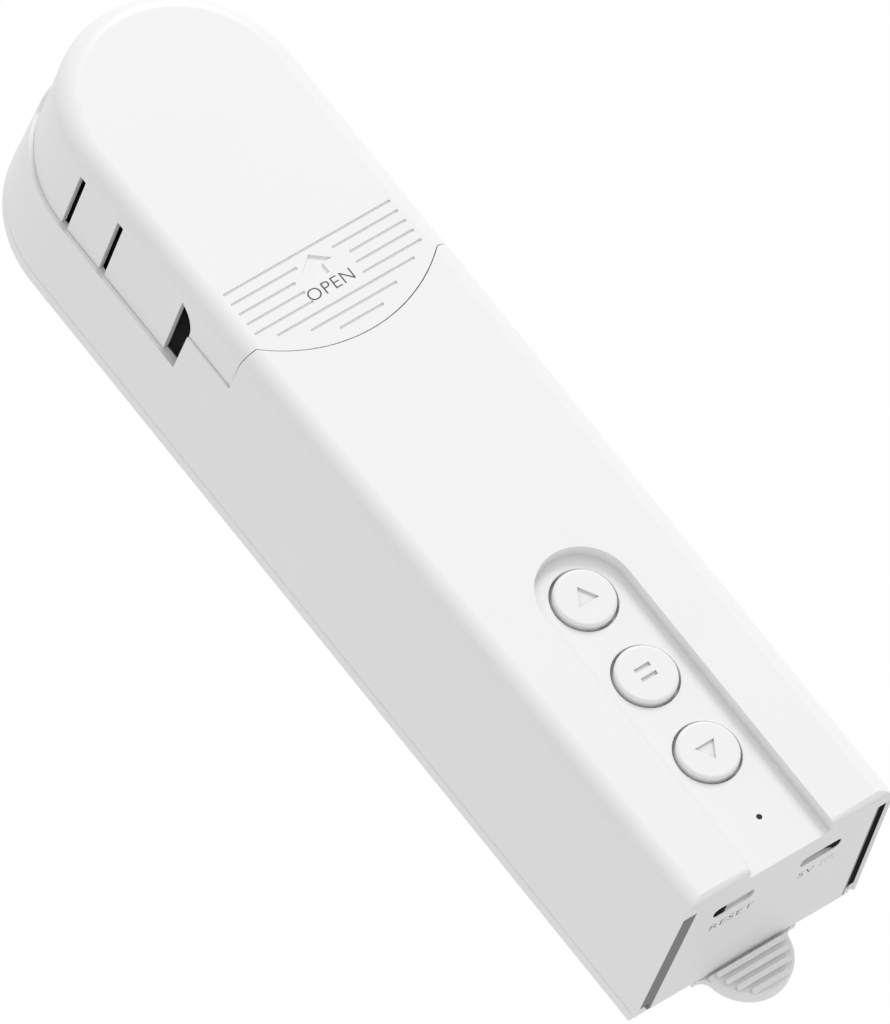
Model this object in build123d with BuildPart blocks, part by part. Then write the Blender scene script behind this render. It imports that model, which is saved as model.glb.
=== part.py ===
from build123d import *
import os
from math import atan2, cos, degrees, hypot, pi, radians, sin, tan

# Rechargeable motor that pulls the bead chain of a roller blind, hung on a flat wall bracket.
# Millimetres. X runs to the right seen from the front, Y towards the wall, Z up to the round end.
# The origin is on the wall plane, midway between the bracket's two screw holes.
# A depth is the distance in front of the wall, so depth 35 is the plane y = -35.

# Body
LENGTH = 175.0
BACK_HALF = 22.0
FRONT_HALF = 20.7
DEPTH = 35.1
SEAM_DEPTH = 2.3
WALL = 1.6
END_WALL = 1.8
EDGE_RADIUS = 3.4
END_EDGE_RADIUS = 1.0
END_Z = -85.0
TIP_Z = END_Z + LENGTH
ROUND_Z = TIP_Z - BACK_HALF
INNER_DEPTH = DEPTH - WALL
DRAFT_SLOPE = (BACK_HALF - FRONT_HALF) / (DEPTH - SEAM_DEPTH)
DRAFT = degrees(atan2(BACK_HALF - FRONT_HALF, DEPTH - SEAM_DEPTH))
PAST = 12.0
CLEAR = 0.15

# Front cover and the ledge that it stands on
LEDGE_DEPTH = 17.0
CHEEK_DEPTH = 25.8
SEAM_SIDE_Z = END_Z + 112.9
SEAM_MID_Z = END_Z + 106.5
SEAM_ARC_HALF = 18.05
SEAM_GAP = 0.2
COVER_WALL = 1.0
SKIRT_START_Z = END_Z + 127.0
CHEEK_TOP_Z = END_Z + 123.5
SKIRT_SLOT_Z = (END_Z + 142.8, END_Z + 152.3)
SKIRT_SLOT_WIDTH = 1.4
SKIRT_SLOT_DEPTH = 31.0
NOTCH_RADIUS = 5.2

# Lap of the shell that reaches up under the cover
LAP_HALF = 18.7
LAP_WALL = 1.4
LAP_OVERLAP = 4.0
LAP_BACK = LEDGE_DEPTH - 2.0
LAP_TOP_Z = CHEEK_TOP_Z - 1.5

# Grip grooves in the cover: half length, and half of the gap in the middle
GROOVES = (
    (16.65, 0.0),
    (16.65, 3.45),
    (16.65, 5.35),
    (16.65, 5.05),
    (16.65, 4.9),
    (13.7, 0.0),
    (8.6, 0.0),
    (4.4, 0.0),
)
GROOVE_TOP_Z = END_Z + 123.2
GROOVE_PITCH = 2.0
GROOVE_WIDTH = 0.5
GROOVE_CUT = 0.35

# Button channel
CHANNEL_HALF = 8.3
CHANNEL_CUT = 2.1
CHANNEL_DRAFT = 6.0
FLOOR_DEPTH = DEPTH - CHANNEL_CUT
FLOOR_INNER = FLOOR_DEPTH - WALL
BUTTON_Z = {"up": END_Z + 52.1, "pause": END_Z + 36.5, "down": END_Z + 20.9}
BUTTON_HOLE_RADIUS = 5.6
BUTTON_RADIUS = 5.1
BUTTON_RISE = 1.0
BUTTON_FLANGE_RADIUS = 6.2
BUTTON_FLANGE = 0.8
BUTTON_BACK = FLOOR_INNER - 0.2 - BUTTON_FLANGE
LED_Z = END_Z + 7.8
LED_HOLE_RADIUS = 0.5
SMALL_EDGE = 0.5

# End face: two ports and the open gaps beside the end wall
PORT_DEPTH = 26.25
PORT_HEIGHT = 2.5
PORT_LENGTH = 8.1
PORT_CORNER = 0.42 * PORT_HEIGHT
USB_X = 8.1
RESET_X = -9.3
GAP_INNER = 2.8
GAP_OUTER = 0.95
GAP_LIP = 0.12
GAP_LIP_Z = 0.6
GAP_FRONT = 31.3
GAP_HEIGHT = 8.0
LINER_OUT = 1.1
LINER_WALL = 0.5
LINER_WEB = 1.0

# Rear tray, its screws and the windows that hang on the bracket's hooks
TRAY_BACK = 2.6
TRAY_FRONT = 4.2
TRAY_HALF = 20.1
TRAY_LOW_Z = END_Z + END_WALL + 0.3
SCREW_X = 15.2
SCREW_Z = (END_Z + 29.0, END_Z + 97.0)
BOSS_RADIUS = 2.6
SCREW_RADIUS = 1.25
SCREW_HEAD_RADIUS = 2.3
SCREW_LENGTH = 9.0
HOOK_X = 15.0
HOOK_Z = (-22.0, 30.0)
HOOK_HALF = 2.0
HOOK_HEIGHT = 3.0
HOOK_BACK = TRAY_FRONT + 0.3
HOOK_LIP = 1.5
HOUSING_TRAVEL = 6.5

# Wall bracket and its release latch
PLATE_DEPTH = SEAM_DEPTH - 0.12
PLATE_END_Z = END_Z + 0.9
PAD_HALF = 20.0
PAD_DEPTH = 2.5
WALL_HOLE_Z = 40.0
WALL_HOLE_RADIUS = 2.25
WALL_HEAD_RADIUS = 4.2
LATCH_HALF = 10.2
LATCH_GAP = 0.45
LATCH_TOP_Z = -54.0
LATCH_BACK = 0.9
LATCH_FRONT = 2.1
KNUCKLE_RADIUS = 0.95
KNUCKLE_DEPTH = 1.2
KNUCKLE_PLAY = 0.05
TAB_RADIUS = 7.8
TAB_FRONT = 2.9
TAB_DROP = 0.5
TAB_FLARE = 1.5
TAB_FLARE_MIDDLE = (8.35, END_Z - 0.4)
TAB_RIBS = 4
RIB_PITCH = 1.7
RIB_WIDTH = 0.9
RIB_HEIGHT = 0.5
NOSE_Z = -71.0
NOSE_HALF = 4.0
NOSE_LENGTH = 2.0
NOSE_HEIGHT = 0.8

# Drive: motor axis upright, sprocket axis square to the wall, bevel gears between them
AXIS_DEPTH = 15.4
MOTOR_RADIUS = 11.0
MOTOR_LOW_Z = 1.0
CAN_HEIGHT = 30.0
CAN_ROLL = 0.5
END_CAP_RADIUS = 10.2
END_CAP_HEIGHT = 1.3
GEARBOX_RADIUS = 10.8
GEARBOX_HEIGHT = 20.6
GEARBOX_LOW_Z = MOTOR_LOW_Z + CAN_HEIGHT
GEARBOX_GROOVES = 3
FACEPLATE_LOW_Z = GEARBOX_LOW_Z + GEARBOX_HEIGHT
FACEPLATE_HEIGHT = 2.0
FACEPLATE_BOSS_RADIUS = 4.4
FACEPLATE_BOSS_HEIGHT = 2.2
FACEPLATE_SCREW_X = 8.0
FACEPLATE_SCREW_RADIUS = 1.2
FACEPLATE_HEAD_RADIUS = 2.1
FACEPLATE_HEAD_HEIGHT = 1.3
AXLE_RADIUS = 2.5
SHAFT_RADIUS = 2.0
RUNNING_PLAY = 0.05

# Bevel gears, straight teeth on crossed axes
MODULE = 0.833
GEAR_TEETH = 20
PINION_TEETH = 12
GEAR_RADIUS = MODULE * GEAR_TEETH / 2
PINION_RADIUS = MODULE * PINION_TEETH / 2
CONE = hypot(GEAR_RADIUS, PINION_RADIUS)
FACE_WIDTH = 3.1
TOE = (CONE - FACE_WIDTH) / CONE
ADDENDUM = 0.72 * MODULE
DEDENDUM = 0.95 * MODULE
BACKLASH = 0.16
TOOTH_HALF = (pi * MODULE / 2 - BACKLASH) / 2
TOOTH_SLOPE = tan(radians(20))
TOOTH_EMBED = 0.3
GEAR_RIM_END = 6.7
GEAR_HUB_RADIUS = 4.6
GEAR_HUB_END = 8.0
PINION_RIM_END = 9.6
PINION_HUB_RADIUS = 3.6
PINION_HUB_END = 11.4

# Bead chain sprocket
BALL_PITCH = 6.0
BALL_POCKETS = 9
POCKET_RADIUS = 2.45
CHAIN_RADIUS = BALL_PITCH / (2 * sin(pi / BALL_POCKETS))
SPROCKET_RADIUS = 10.2
SPROCKET_FRONT = 31.0
SPROCKET_BACK = 24.1
SPROCKET_EDGE = 0.5
CHAIN_DEPTH = (SPROCKET_FRONT + SPROCKET_BACK) / 2
LINK_GROOVE = 1.7
LINK_GROOVE_RADIUS = 7.6
SPROCKET_HEAD_RADIUS = 3.6
SPROCKET_HEAD_HEIGHT = 1.2
HEAD_SEAT_DEPTH = SPROCKET_FRONT - 1.3
SPROCKET_SCREW_DEPTH = 6.0
CROSS_WIDTH = 0.7

# Gear case that carries the drive inside the round end
CASE_HALF = 18.7
CASE_WALL = 1.5
CASE_LOW_Z = FACEPLATE_LOW_Z + FACEPLATE_HEIGHT
CASE_CORNER = 4.0
BULKHEAD = 2.4
CASE_BACK = 4.4
DECK_BACK = 21.8
DECK_FRONT = 23.4
GUIDE_RADIUS = 11.9
GUIDE_WALL = 1.5
GUIDE_FRONT = 31.2
GUIDE_UPRIGHT = 10.0
CHAIN_MOUTH = 5.8
CASE_POSTS = ((-14.2, ROUND_Z - 6.0), (14.2, ROUND_Z - 6.0), (0.0, ROUND_Z + 14.3))
POST_RADIUS = 2.3
SCREW_PLACES = [(x, z) for x in (-SCREW_X, SCREW_X) for z in SCREW_Z] + list(CASE_POSTS)
BEARING_RADIUS = 5.0
BEARING_HEIGHT = 2.8
BEARING_SEAT_WALL = 1.5
BUSH_RADIUS = 3.5
BUSH_BACK = 19.8
BUSH_FLANGE_RADIUS = 4.4
BUSH_FLANGE = 0.4
BUSH_SEAT_RADIUS = 4.8

# Chassis that carries the cell
BEAM_OUT = 2.3
CHASSIS_LOW_Z = -78.5
CHASSIS_TOP_Z = -5.5
CHASSIS_PLATE = 1.5
CHASSIS_FRONT = 23.8
CHEEK_LOW_Z = END_Z + 0.1
SADDLE_Z = (-66.0, -41.0)
CELL_RADIUS = 9.2
CELL_DEPTH = 14.5
CELL_Z = (-74.0, -9.0)
CELL_EDGE = 0.6
CELL_BUTTON_RADIUS = 3.0
CELL_BUTTON_HEIGHT = 0.8
SPRING_RADIUS = 3.4
SPRING_WIRE = 0.3
SPRING_TURNS = 3
SPRING_LOW_Z = CHASSIS_LOW_Z + CHASSIS_PLATE + 2 * SPRING_WIRE
SPRING_HEIGHT = CELL_Z[0] - 2 * SPRING_WIRE - SPRING_LOW_Z

# Electronics
BOARD_HALF = 12.4
BOARD_BACK = 24.0
BOARD_FRONT = 25.0
BOARD_Z = (END_Z + 3.2, -9.0)
BOARD_CORNER = 1.2
STANDOFF_X = 10.4
STANDOFF_Z = (-70.5, -14.0)
STANDOFF_PLACES = [(x, z) for x in (-STANDOFF_X, STANDOFF_X) for z in STANDOFF_Z]
STANDOFF_RADIUS = 1.9
BOARD_SCREW_RADIUS = 0.8
BOARD_HEAD_RADIUS = 1.5
BOARD_HEAD_HEIGHT = 0.9
BOARD_SCREW_LENGTH = 5.0
SWITCH_SIZE = 6.0
SWITCH_FRONT = 28.5
SWITCH_BORE_RADIUS = 1.8
SWITCH_BORE_BACK = 26.5
PLUNGER_RADIUS = 1.7
PLUNGER_BACK = 27.3
SOCKET_LENGTH = 7.5
SOCKET_SHELL = 0.3
SOCKET_Z = (END_Z + 2.8, END_Z + 8.0)
TONGUE_LENGTH = 4.6
TONGUE_HEIGHT = 0.6
LED_LENGTH = 3.0
LED_WIDTH = 1.6
LED_HEIGHT = 0.9
PIPE_RADIUS = 1.2
PIPE_TIP_RADIUS = 0.45
RADIO_LENGTH = 12.0
RADIO_Z = (-24.0, -11.0)
RADIO_HEIGHT = 2.4

# Reset button behind the left port, and the switch that it presses
RESET_BUTTON_X = -8.4
RESET_BUTTON_HALF = 2.3
RESET_BUTTON_HEIGHT = 2.2
RESET_FACE_Z = END_Z + 0.4
RESET_FLANGE_Z = END_Z + 2.0
RESET_FLANGE = 0.6
RESET_STEM_HALF = 0.8
RESET_STEM_TOP_Z = -79.6
RESET_SWITCH_Z = (-81.0, -77.4)
RESET_SWITCH_LENGTH = 5.2
RESET_SWITCH_FRONT = 28.0
RESET_BORE_TOP_Z = -79.0


def front(depth):
    """Plane facing the front at a depth from the wall: its x is X and its y is Z."""
    return Plane.XZ.offset(depth)


def level(z):
    """Horizontal plane at a height, facing up."""
    return Plane.XY.offset(z)


def half_at(depth):
    """Half width of the drafted body at a depth."""
    return BACK_HALF - (depth - SEAM_DEPTH) * DRAFT_SLOPE


def round_ended(half, low_z):
    """Outline with straight sides and a semicircular top."""
    with BuildLine() as outline:
        Polyline((half, ROUND_Z), (half, low_z), (-half, low_z), (-half, ROUND_Z))
        ThreePointArc((-half, ROUND_Z), (0, ROUND_Z + half), (half, ROUND_Z))
    return outline.edges()


def above_seam(rise):
    """Outline of all that is above the curved lower edge of the cover, moved up by rise."""
    side = SEAM_SIDE_Z + rise
    middle = SEAM_MID_Z + rise
    reach = BACK_HALF + PAST
    with BuildLine() as outline:
        Line((-reach, side), (-SEAM_ARC_HALF, side))
        ThreePointArc((-SEAM_ARC_HALF, side), (0, middle), (SEAM_ARC_HALF, side))
        Polyline(
            (SEAM_ARC_HALF, side),
            (reach, side),
            (reach, TIP_Z + PAST),
            (-reach, TIP_Z + PAST),
            (-reach, side),
        )
    return outline.edges()


def side_strip(side, inner, outer, near, far):
    """Strip beside a drafted side wall, inner and outer being distances in from its outside."""
    with BuildLine() as outline:
        Polyline(
            (side * (half_at(near) - inner), -near),
            (side * (half_at(near) - outer), -near),
            (side * (half_at(far) - outer), -far),
            (side * (half_at(far) - inner), -far),
            close=True,
        )
    return outline.edges()


def tooth_outline(scale):
    """Section of a bevel tooth from its tip to below its root, y running towards the axis."""
    tip = TOOTH_HALF - ADDENDUM * TOOTH_SLOPE
    root_y = DEDENDUM + TOOTH_EMBED
    root = TOOTH_HALF + root_y * TOOTH_SLOPE
    with BuildLine() as outline:
        Polyline(
            (-tip * scale, -ADDENDUM * scale),
            (tip * scale, -ADDENDUM * scale),
            (root * scale, root_y * scale),
            (-root * scale, root_y * scale),
            close=True,
        )
    return outline.edges()


def tooth_plane(apex, angle, own_radius, mate_radius, scale):
    """Plane across a bevel tooth, at a share of the way from the cone's apex to its large end."""
    slant = Plane(
        origin=(own_radius * scale, 0, mate_radius * scale),
        x_dir=(0, 1, 0),
        z_dir=(own_radius, 0, mate_radius),
    )
    return Plane(apex.location * Location((0, 0, 0), (0, 0, angle)) * slant.location)


def axial_plane(apex):
    """Plane through a gear's axis: its x is the radius and its y runs along the axis."""
    return Plane(origin=apex.origin, x_dir=apex.x_dir, z_dir=-apex.y_dir)


def blank_profile(bore, own_radius, mate_radius, rim_end, hub_radius, hub_end):
    """Half section of a bevel gear without its teeth, from the toe to the end of the hub."""
    root_radius = own_radius - DEDENDUM * mate_radius / CONE
    root_reach = mate_radius + DEDENDUM * own_radius / CONE
    with BuildLine() as outline:
        Polyline(
            (bore, root_reach * TOE),
            (root_radius * TOE, root_reach * TOE),
            (root_radius, root_reach),
            (root_radius, rim_end),
            (hub_radius, rim_end),
            (hub_radius, hub_end),
            (bore, hub_end),
            close=True,
        )
    return outline.edges()


# Outer form of the whole body, which the shell is cut from
with BuildPart() as body_form:
    with BuildSketch(front(SEAM_DEPTH)):
        make_face(round_ended(BACK_HALF, END_Z - PAST))
    extrude(amount=DEPTH - SEAM_DEPTH, taper=DRAFT)
    fillet(body_form.faces().sort_by(Axis.Y)[0].edges(), EDGE_RADIUS)
    split(bisect_by=level(END_Z), keep=Keep.TOP)
    with BuildSketch(Plane.YZ):
        with BuildLine():
            Line((-DEPTH, END_Z + END_EDGE_RADIUS), (-DEPTH, END_Z))
            Line((-DEPTH, END_Z), (-DEPTH + END_EDGE_RADIUS, END_Z))
            RadiusArc(
                (-DEPTH + END_EDGE_RADIUS, END_Z), (-DEPTH, END_Z + END_EDGE_RADIUS), -END_EDGE_RADIUS
            )
        make_face()
    extrude(amount=BACK_HALF, both=True, mode=Mode.SUBTRACT)

# Hollow of the shell
with BuildPart() as shell_hollow:
    with BuildSketch(front(SEAM_DEPTH)):
        make_face(round_ended(BACK_HALF - WALL, END_Z - PAST))
    extrude(amount=INNER_DEPTH - SEAM_DEPTH, taper=DRAFT)
    fillet(shell_hollow.faces().sort_by(Axis.Y)[0].edges(), EDGE_RADIUS - WALL)
    split(bisect_by=level(END_Z + END_WALL), keep=Keep.TOP)

# Room that the cover takes out of the shell
with BuildPart() as cover_room:
    with BuildSketch(front(CHEEK_DEPTH)):
        make_face(above_seam(0))
    extrude(amount=DEPTH)
    with BuildSketch(front(LEDGE_DEPTH)):
        with Locations((0, CHEEK_TOP_Z + LENGTH / 2)):
            Rectangle(LENGTH, LENGTH)
    extrude(amount=DEPTH)

# White front shell with the button channel, the end wall and the lap that the cover slides over
with BuildPart() as front_shell:
    add(body_form.part)
    add(shell_hollow.part, mode=Mode.SUBTRACT)
    # Thicker floor under the channel
    with BuildSketch(front(FLOOR_INNER)):
        with Locations((0, BUTTON_Z["up"])):
            Circle(CHANNEL_HALF + WALL)
        with Locations((0, (BUTTON_Z["up"] + END_Z + END_WALL) / 2)):
            Rectangle(2 * (CHANNEL_HALF + WALL), BUTTON_Z["up"] - END_Z - END_WALL)
    extrude(amount=INNER_DEPTH - FLOOR_INNER + WALL / 2)
    # Screw bosses, and standoffs for the board
    with BuildSketch(front(TRAY_FRONT)):
        with Locations(*[(x, z) for x in (-SCREW_X, SCREW_X) for z in SCREW_Z]):
            Circle(BOSS_RADIUS)
    extrude(amount=INNER_DEPTH - TRAY_FRONT + WALL / 2)
    with BuildSketch(front(BOARD_FRONT)):
        with Locations(*STANDOFF_PLACES):
            Circle(STANDOFF_RADIUS)
    extrude(amount=INNER_DEPTH - BOARD_FRONT + WALL / 2)
    with BuildSketch(front(TRAY_FRONT)):
        with Locations(*[(x, z) for x in (-SCREW_X, SCREW_X) for z in SCREW_Z]):
            Circle(SCREW_RADIUS)
    extrude(amount=SCREW_LENGTH, mode=Mode.SUBTRACT)
    with BuildSketch(front(BOARD_FRONT)):
        with Locations(*STANDOFF_PLACES):
            Circle(BOARD_SCREW_RADIUS)
    extrude(amount=BOARD_SCREW_LENGTH, mode=Mode.SUBTRACT)
    add(cover_room.part, mode=Mode.SUBTRACT)
    # Lap under the cover with a flap down each side
    with BuildSketch(level(SEAM_MID_Z - LAP_OVERLAP)):
        with Locations((0, -LAP_BACK)):
            lap = Rectangle(2 * LAP_HALF, INNER_DEPTH - LAP_BACK, align=(Align.CENTER, Align.MAX))
        fillet(lap.vertices().group_by(Axis.Y)[0], EDGE_RADIUS - WALL)
    extrude(amount=LAP_TOP_Z - SEAM_MID_Z + LAP_OVERLAP)
    with BuildSketch(level(SEAM_MID_Z - LAP_OVERLAP)):
        with Locations((0, -LAP_BACK)):
            lap_room = Rectangle(
                2 * (LAP_HALF - LAP_WALL),
                INNER_DEPTH - LAP_BACK - LAP_WALL,
                align=(Align.CENTER, Align.MAX),
            )
        fillet(lap_room.vertices().group_by(Axis.Y)[0], EDGE_RADIUS - WALL - LAP_WALL)
    extrude(amount=LAP_TOP_Z - SEAM_MID_Z + LAP_OVERLAP, mode=Mode.SUBTRACT)
    # Button channel, running out through the end
    with BuildSketch(front(DEPTH)):
        with Locations((0, BUTTON_Z["up"])):
            Circle(CHANNEL_HALF)
        with Locations((0, (BUTTON_Z["up"] + END_Z - PAST) / 2)):
            Rectangle(2 * CHANNEL_HALF, BUTTON_Z["up"] - END_Z + PAST)
    extrude(amount=-CHANNEL_CUT, taper=CHANNEL_DRAFT, mode=Mode.SUBTRACT)
    with BuildSketch(front(FLOOR_INNER - WALL)):
        with Locations(*[(0, z) for z in BUTTON_Z.values()]):
            Circle(BUTTON_HOLE_RADIUS)
        with Locations((0, LED_Z)):
            Circle(LED_HOLE_RADIUS)
    extrude(amount=DEPTH, mode=Mode.SUBTRACT)
    # Ports through the end wall
    with BuildSketch(level(END_Z - END_WALL)):
        with Locations((USB_X, -PORT_DEPTH), (RESET_X, -PORT_DEPTH)):
            RectangleRounded(PORT_LENGTH, PORT_HEIGHT, PORT_CORNER)
    extrude(amount=3 * END_WALL, mode=Mode.SUBTRACT)
    # Open gaps beside the end wall, flared at the mouth to a thin lip
    for side in (-1, 1):
        with BuildSketch(level(END_Z + GAP_LIP_Z)):
            make_face(side_strip(side, GAP_INNER, GAP_OUTER, 0, GAP_FRONT))
        extrude(amount=GAP_HEIGHT, mode=Mode.SUBTRACT)
        with BuildSketch(level(END_Z)):
            make_face(side_strip(side, GAP_INNER, GAP_LIP, 0, GAP_FRONT))
        with BuildSketch(level(END_Z + GAP_LIP_Z)):
            make_face(side_strip(side, GAP_INNER, GAP_OUTER, 0, GAP_FRONT))
        loft(mode=Mode.SUBTRACT)
    # The end wall stops short of the seam, so that the latch has room behind it
    with BuildSketch(front(0)):
        with Locations((0, END_Z)):
            Rectangle(2 * (BACK_HALF - WALL), 4 * END_WALL)
    extrude(amount=TRAY_BACK, mode=Mode.SUBTRACT)
front_shell.part.label = "front_shell"

# White front cover of the round end, with snap fingers cut in its skirt and a grip of grooves
with BuildPart() as cover_form:
    with BuildSketch(front(LEDGE_DEPTH + SEAM_GAP)):
        make_face(round_ended(FRONT_HALF, END_Z))
    extrude(amount=DEPTH - LEDGE_DEPTH - SEAM_GAP)
    fillet(cover_form.faces().sort_by(Axis.Y)[0].edges(), EDGE_RADIUS)

with BuildPart() as cover_hollow:
    with BuildSketch(front(LEDGE_DEPTH - WALL)):
        make_face(round_ended(FRONT_HALF - COVER_WALL, END_Z - PAST))
    extrude(amount=DEPTH - COVER_WALL - LEDGE_DEPTH + WALL)
    fillet(cover_hollow.faces().sort_by(Axis.Y)[0].edges(), EDGE_RADIUS - COVER_WALL)

with BuildPart() as cover_reach:
    with BuildSketch(front(CHEEK_DEPTH + SEAM_GAP)):
        make_face(above_seam(SEAM_GAP))
    extrude(amount=DEPTH)
    with BuildSketch(front(LEDGE_DEPTH)):
        with Locations((0, SKIRT_START_Z + LENGTH / 2)):
            Rectangle(LENGTH, LENGTH)
    extrude(amount=DEPTH)

with BuildPart() as front_cover:
    add(cover_form.part)
    add(cover_hollow.part, mode=Mode.SUBTRACT)
    add(cover_reach.part, mode=Mode.INTERSECT)
    # Notch where the skirt meets the cheek of the shell, and the slots beside each snap finger
    with BuildSketch(Plane.YZ):
        with BuildLine():
            Polyline(
                (-CHEEK_DEPTH, CHEEK_TOP_Z),
                (-LEDGE_DEPTH + WALL, CHEEK_TOP_Z),
                (-LEDGE_DEPTH + WALL, SKIRT_START_Z),
                (-SKIRT_SLOT_DEPTH, SKIRT_START_Z),
            )
            RadiusArc((-SKIRT_SLOT_DEPTH, SKIRT_START_Z), (-CHEEK_DEPTH, CHEEK_TOP_Z), -NOTCH_RADIUS)
        make_face()
        with Locations(*[(-SKIRT_SLOT_DEPTH, z) for z in SKIRT_SLOT_Z]):
            Rectangle(
                SKIRT_SLOT_DEPTH - LEDGE_DEPTH + WALL, SKIRT_SLOT_WIDTH, align=(Align.MIN, Align.CENTER)
            )
    extrude(amount=BACK_HALF, both=True, mode=Mode.SUBTRACT)
    # Two mouths in the top for the runs of the chain
    with BuildSketch(level(ROUND_Z + GUIDE_RADIUS)):
        with Locations(*[(x, -CHAIN_DEPTH - CHAIN_MOUTH / 2) for x in (-CHAIN_RADIUS, CHAIN_RADIUS)]):
            Rectangle(
                CHAIN_MOUTH,
                CHAIN_DEPTH + CHAIN_MOUTH / 2 - LEDGE_DEPTH + WALL,
                align=(Align.CENTER, Align.MIN),
            )
    extrude(amount=LENGTH, mode=Mode.SUBTRACT)
    # Grip grooves with round ends
    with BuildSketch(front(DEPTH - GROOVE_CUT)):
        for row, (reach, gap) in enumerate(GROOVES):
            groove_z = GROOVE_TOP_Z - row * GROOVE_PITCH
            if gap == 0:
                with Locations((0, groove_z)):
                    SlotOverall(2 * reach, GROOVE_WIDTH)
            else:
                with Locations(*[(side * (reach + gap) / 2, groove_z) for side in (-1, 1)]):
                    SlotOverall(reach - gap, GROOVE_WIDTH)
    extrude(amount=2 * GROOVE_CUT, mode=Mode.SUBTRACT)
front_cover.part.label = "front_cover"

# Tray that closes the back of the housing
with BuildPart() as rear_tray:
    with BuildSketch(front(TRAY_BACK)):
        make_face(round_ended(TRAY_HALF, TRAY_LOW_Z))
    extrude(amount=TRAY_FRONT - TRAY_BACK)
    # Seat of the rear bearing behind the gear
    with BuildSketch(front(TRAY_FRONT)):
        with Locations((0, ROUND_Z)):
            Circle(BEARING_RADIUS + BEARING_SEAT_WALL)
            Circle(BEARING_RADIUS, mode=Mode.SUBTRACT)
    extrude(amount=BEARING_HEIGHT)
    # Windows for the hooks and a pocket for the latch's nose
    with BuildSketch(front(TRAY_BACK)):
        with Locations(*[(x, z + HOOK_HEIGHT + CLEAR) for x in (-HOOK_X, HOOK_X) for z in HOOK_Z]):
            Rectangle(
                2 * HOOK_HALF + 4 * CLEAR,
                HOOK_HEIGHT + HOUSING_TRAVEL + 4 * CLEAR,
                align=(Align.CENTER, Align.MAX),
            )
        with Locations((0, NOSE_Z + NOSE_LENGTH / 2 + 2 * CLEAR)):
            Rectangle(
                2 * NOSE_HALF + 4 * CLEAR,
                NOSE_LENGTH + HOUSING_TRAVEL + 5 * CLEAR,
                align=(Align.CENTER, Align.MAX),
            )
    extrude(amount=TRAY_FRONT - TRAY_BACK, mode=Mode.SUBTRACT)
    with Locations(*[Plane(origin=(x, -TRAY_BACK, z), z_dir=(0, 1, 0)) for x, z in SCREW_PLACES]):
        CounterSinkHole(SCREW_RADIUS, SCREW_HEAD_RADIUS, depth=TRAY_FRONT - TRAY_BACK)
rear_tray.part.label = "rear_tray"

# Screws from behind, countersunk flush into the tray
with BuildPart() as case_screws:
    for x, z in SCREW_PLACES:
        with BuildSketch(Plane(origin=(x, -TRAY_BACK, z), x_dir=(1, 0, 0), z_dir=(0, 0, 1))):
            with BuildLine():
                Polyline(
                    (0, 0),
                    (SCREW_HEAD_RADIUS, 0),
                    (SCREW_RADIUS, SCREW_RADIUS - SCREW_HEAD_RADIUS),
                    (SCREW_RADIUS, -SCREW_LENGTH),
                    (0, -SCREW_LENGTH),
                    close=True,
                )
            make_face()
        revolve(axis=Axis((x, 0, z), (0, 1, 0)))
case_screws.part.label = "case_screws"

# Grey case round the gears: wall, bulkhead for the gearbox, deck, and the guide that keeps the
# chain in the sprocket's pockets
with BuildPart() as gear_case:
    with BuildSketch(front(CASE_BACK)):
        make_face(round_ended(CASE_HALF, CASE_LOW_Z))
    extrude(amount=DECK_FRONT - CASE_BACK)
    with BuildSketch(front(CASE_BACK)):
        make_face(round_ended(CASE_HALF - CASE_WALL, CASE_LOW_Z + BULKHEAD))
    extrude(amount=DECK_BACK - CASE_BACK, mode=Mode.SUBTRACT)
    with BuildSketch(level(CASE_LOW_Z)):
        with Locations((0, -CASE_BACK)):
            bulkhead = Rectangle(2 * CASE_HALF, GUIDE_FRONT - CASE_BACK, align=(Align.CENTER, Align.MAX))
        fillet(bulkhead.vertices().group_by(Axis.Y)[0], CASE_CORNER)
    extrude(amount=BULKHEAD)
    # Guide under the sprocket, open at the top between two uprights
    with BuildSketch(front(DECK_FRONT)):
        with Locations((0, ROUND_Z)):
            Circle(GUIDE_RADIUS + GUIDE_WALL)
            Circle(GUIDE_RADIUS, mode=Mode.SUBTRACT)
            Rectangle(2 * BACK_HALF, BACK_HALF, align=(Align.CENTER, Align.MIN), mode=Mode.SUBTRACT)
        with Locations(*[(side * (GUIDE_RADIUS + GUIDE_WALL / 2), ROUND_Z) for side in (-1, 1)]):
            Rectangle(GUIDE_WALL, GUIDE_UPRIGHT, align=(Align.CENTER, Align.MIN))
    extrude(amount=GUIDE_FRONT - DECK_FRONT)
    with BuildSketch(front(CASE_BACK)):
        with Locations(*CASE_POSTS):
            Circle(POST_RADIUS)
    extrude(amount=DECK_BACK - CASE_BACK)
    with BuildSketch(front(CASE_BACK)):
        with Locations(*CASE_POSTS):
            Circle(SCREW_RADIUS)
    extrude(amount=SCREW_LENGTH, mode=Mode.SUBTRACT)
    # Seat of the front bush
    with BuildSketch(front(BUSH_BACK)):
        with Locations((0, ROUND_Z)):
            Circle(BUSH_SEAT_RADIUS)
    extrude(amount=DECK_BACK - BUSH_BACK)
    with BuildSketch(front(BUSH_BACK)):
        with Locations((0, ROUND_Z)):
            Circle(BUSH_RADIUS)
    extrude(amount=DECK_FRONT - BUSH_BACK, mode=Mode.SUBTRACT)
    # Openings for the gearbox's boss and its two screws
    with BuildSketch(level(CASE_LOW_Z)):
        with Locations((0, -AXIS_DEPTH)):
            Circle(FACEPLATE_BOSS_RADIUS + CLEAR)
        with Locations(*[(x, -AXIS_DEPTH) for x in (-FACEPLATE_SCREW_X, FACEPLATE_SCREW_X)]):
            Circle(FACEPLATE_SCREW_RADIUS)
    extrude(amount=BULKHEAD, mode=Mode.SUBTRACT)
gear_case.part.label = "gear_case"

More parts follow.
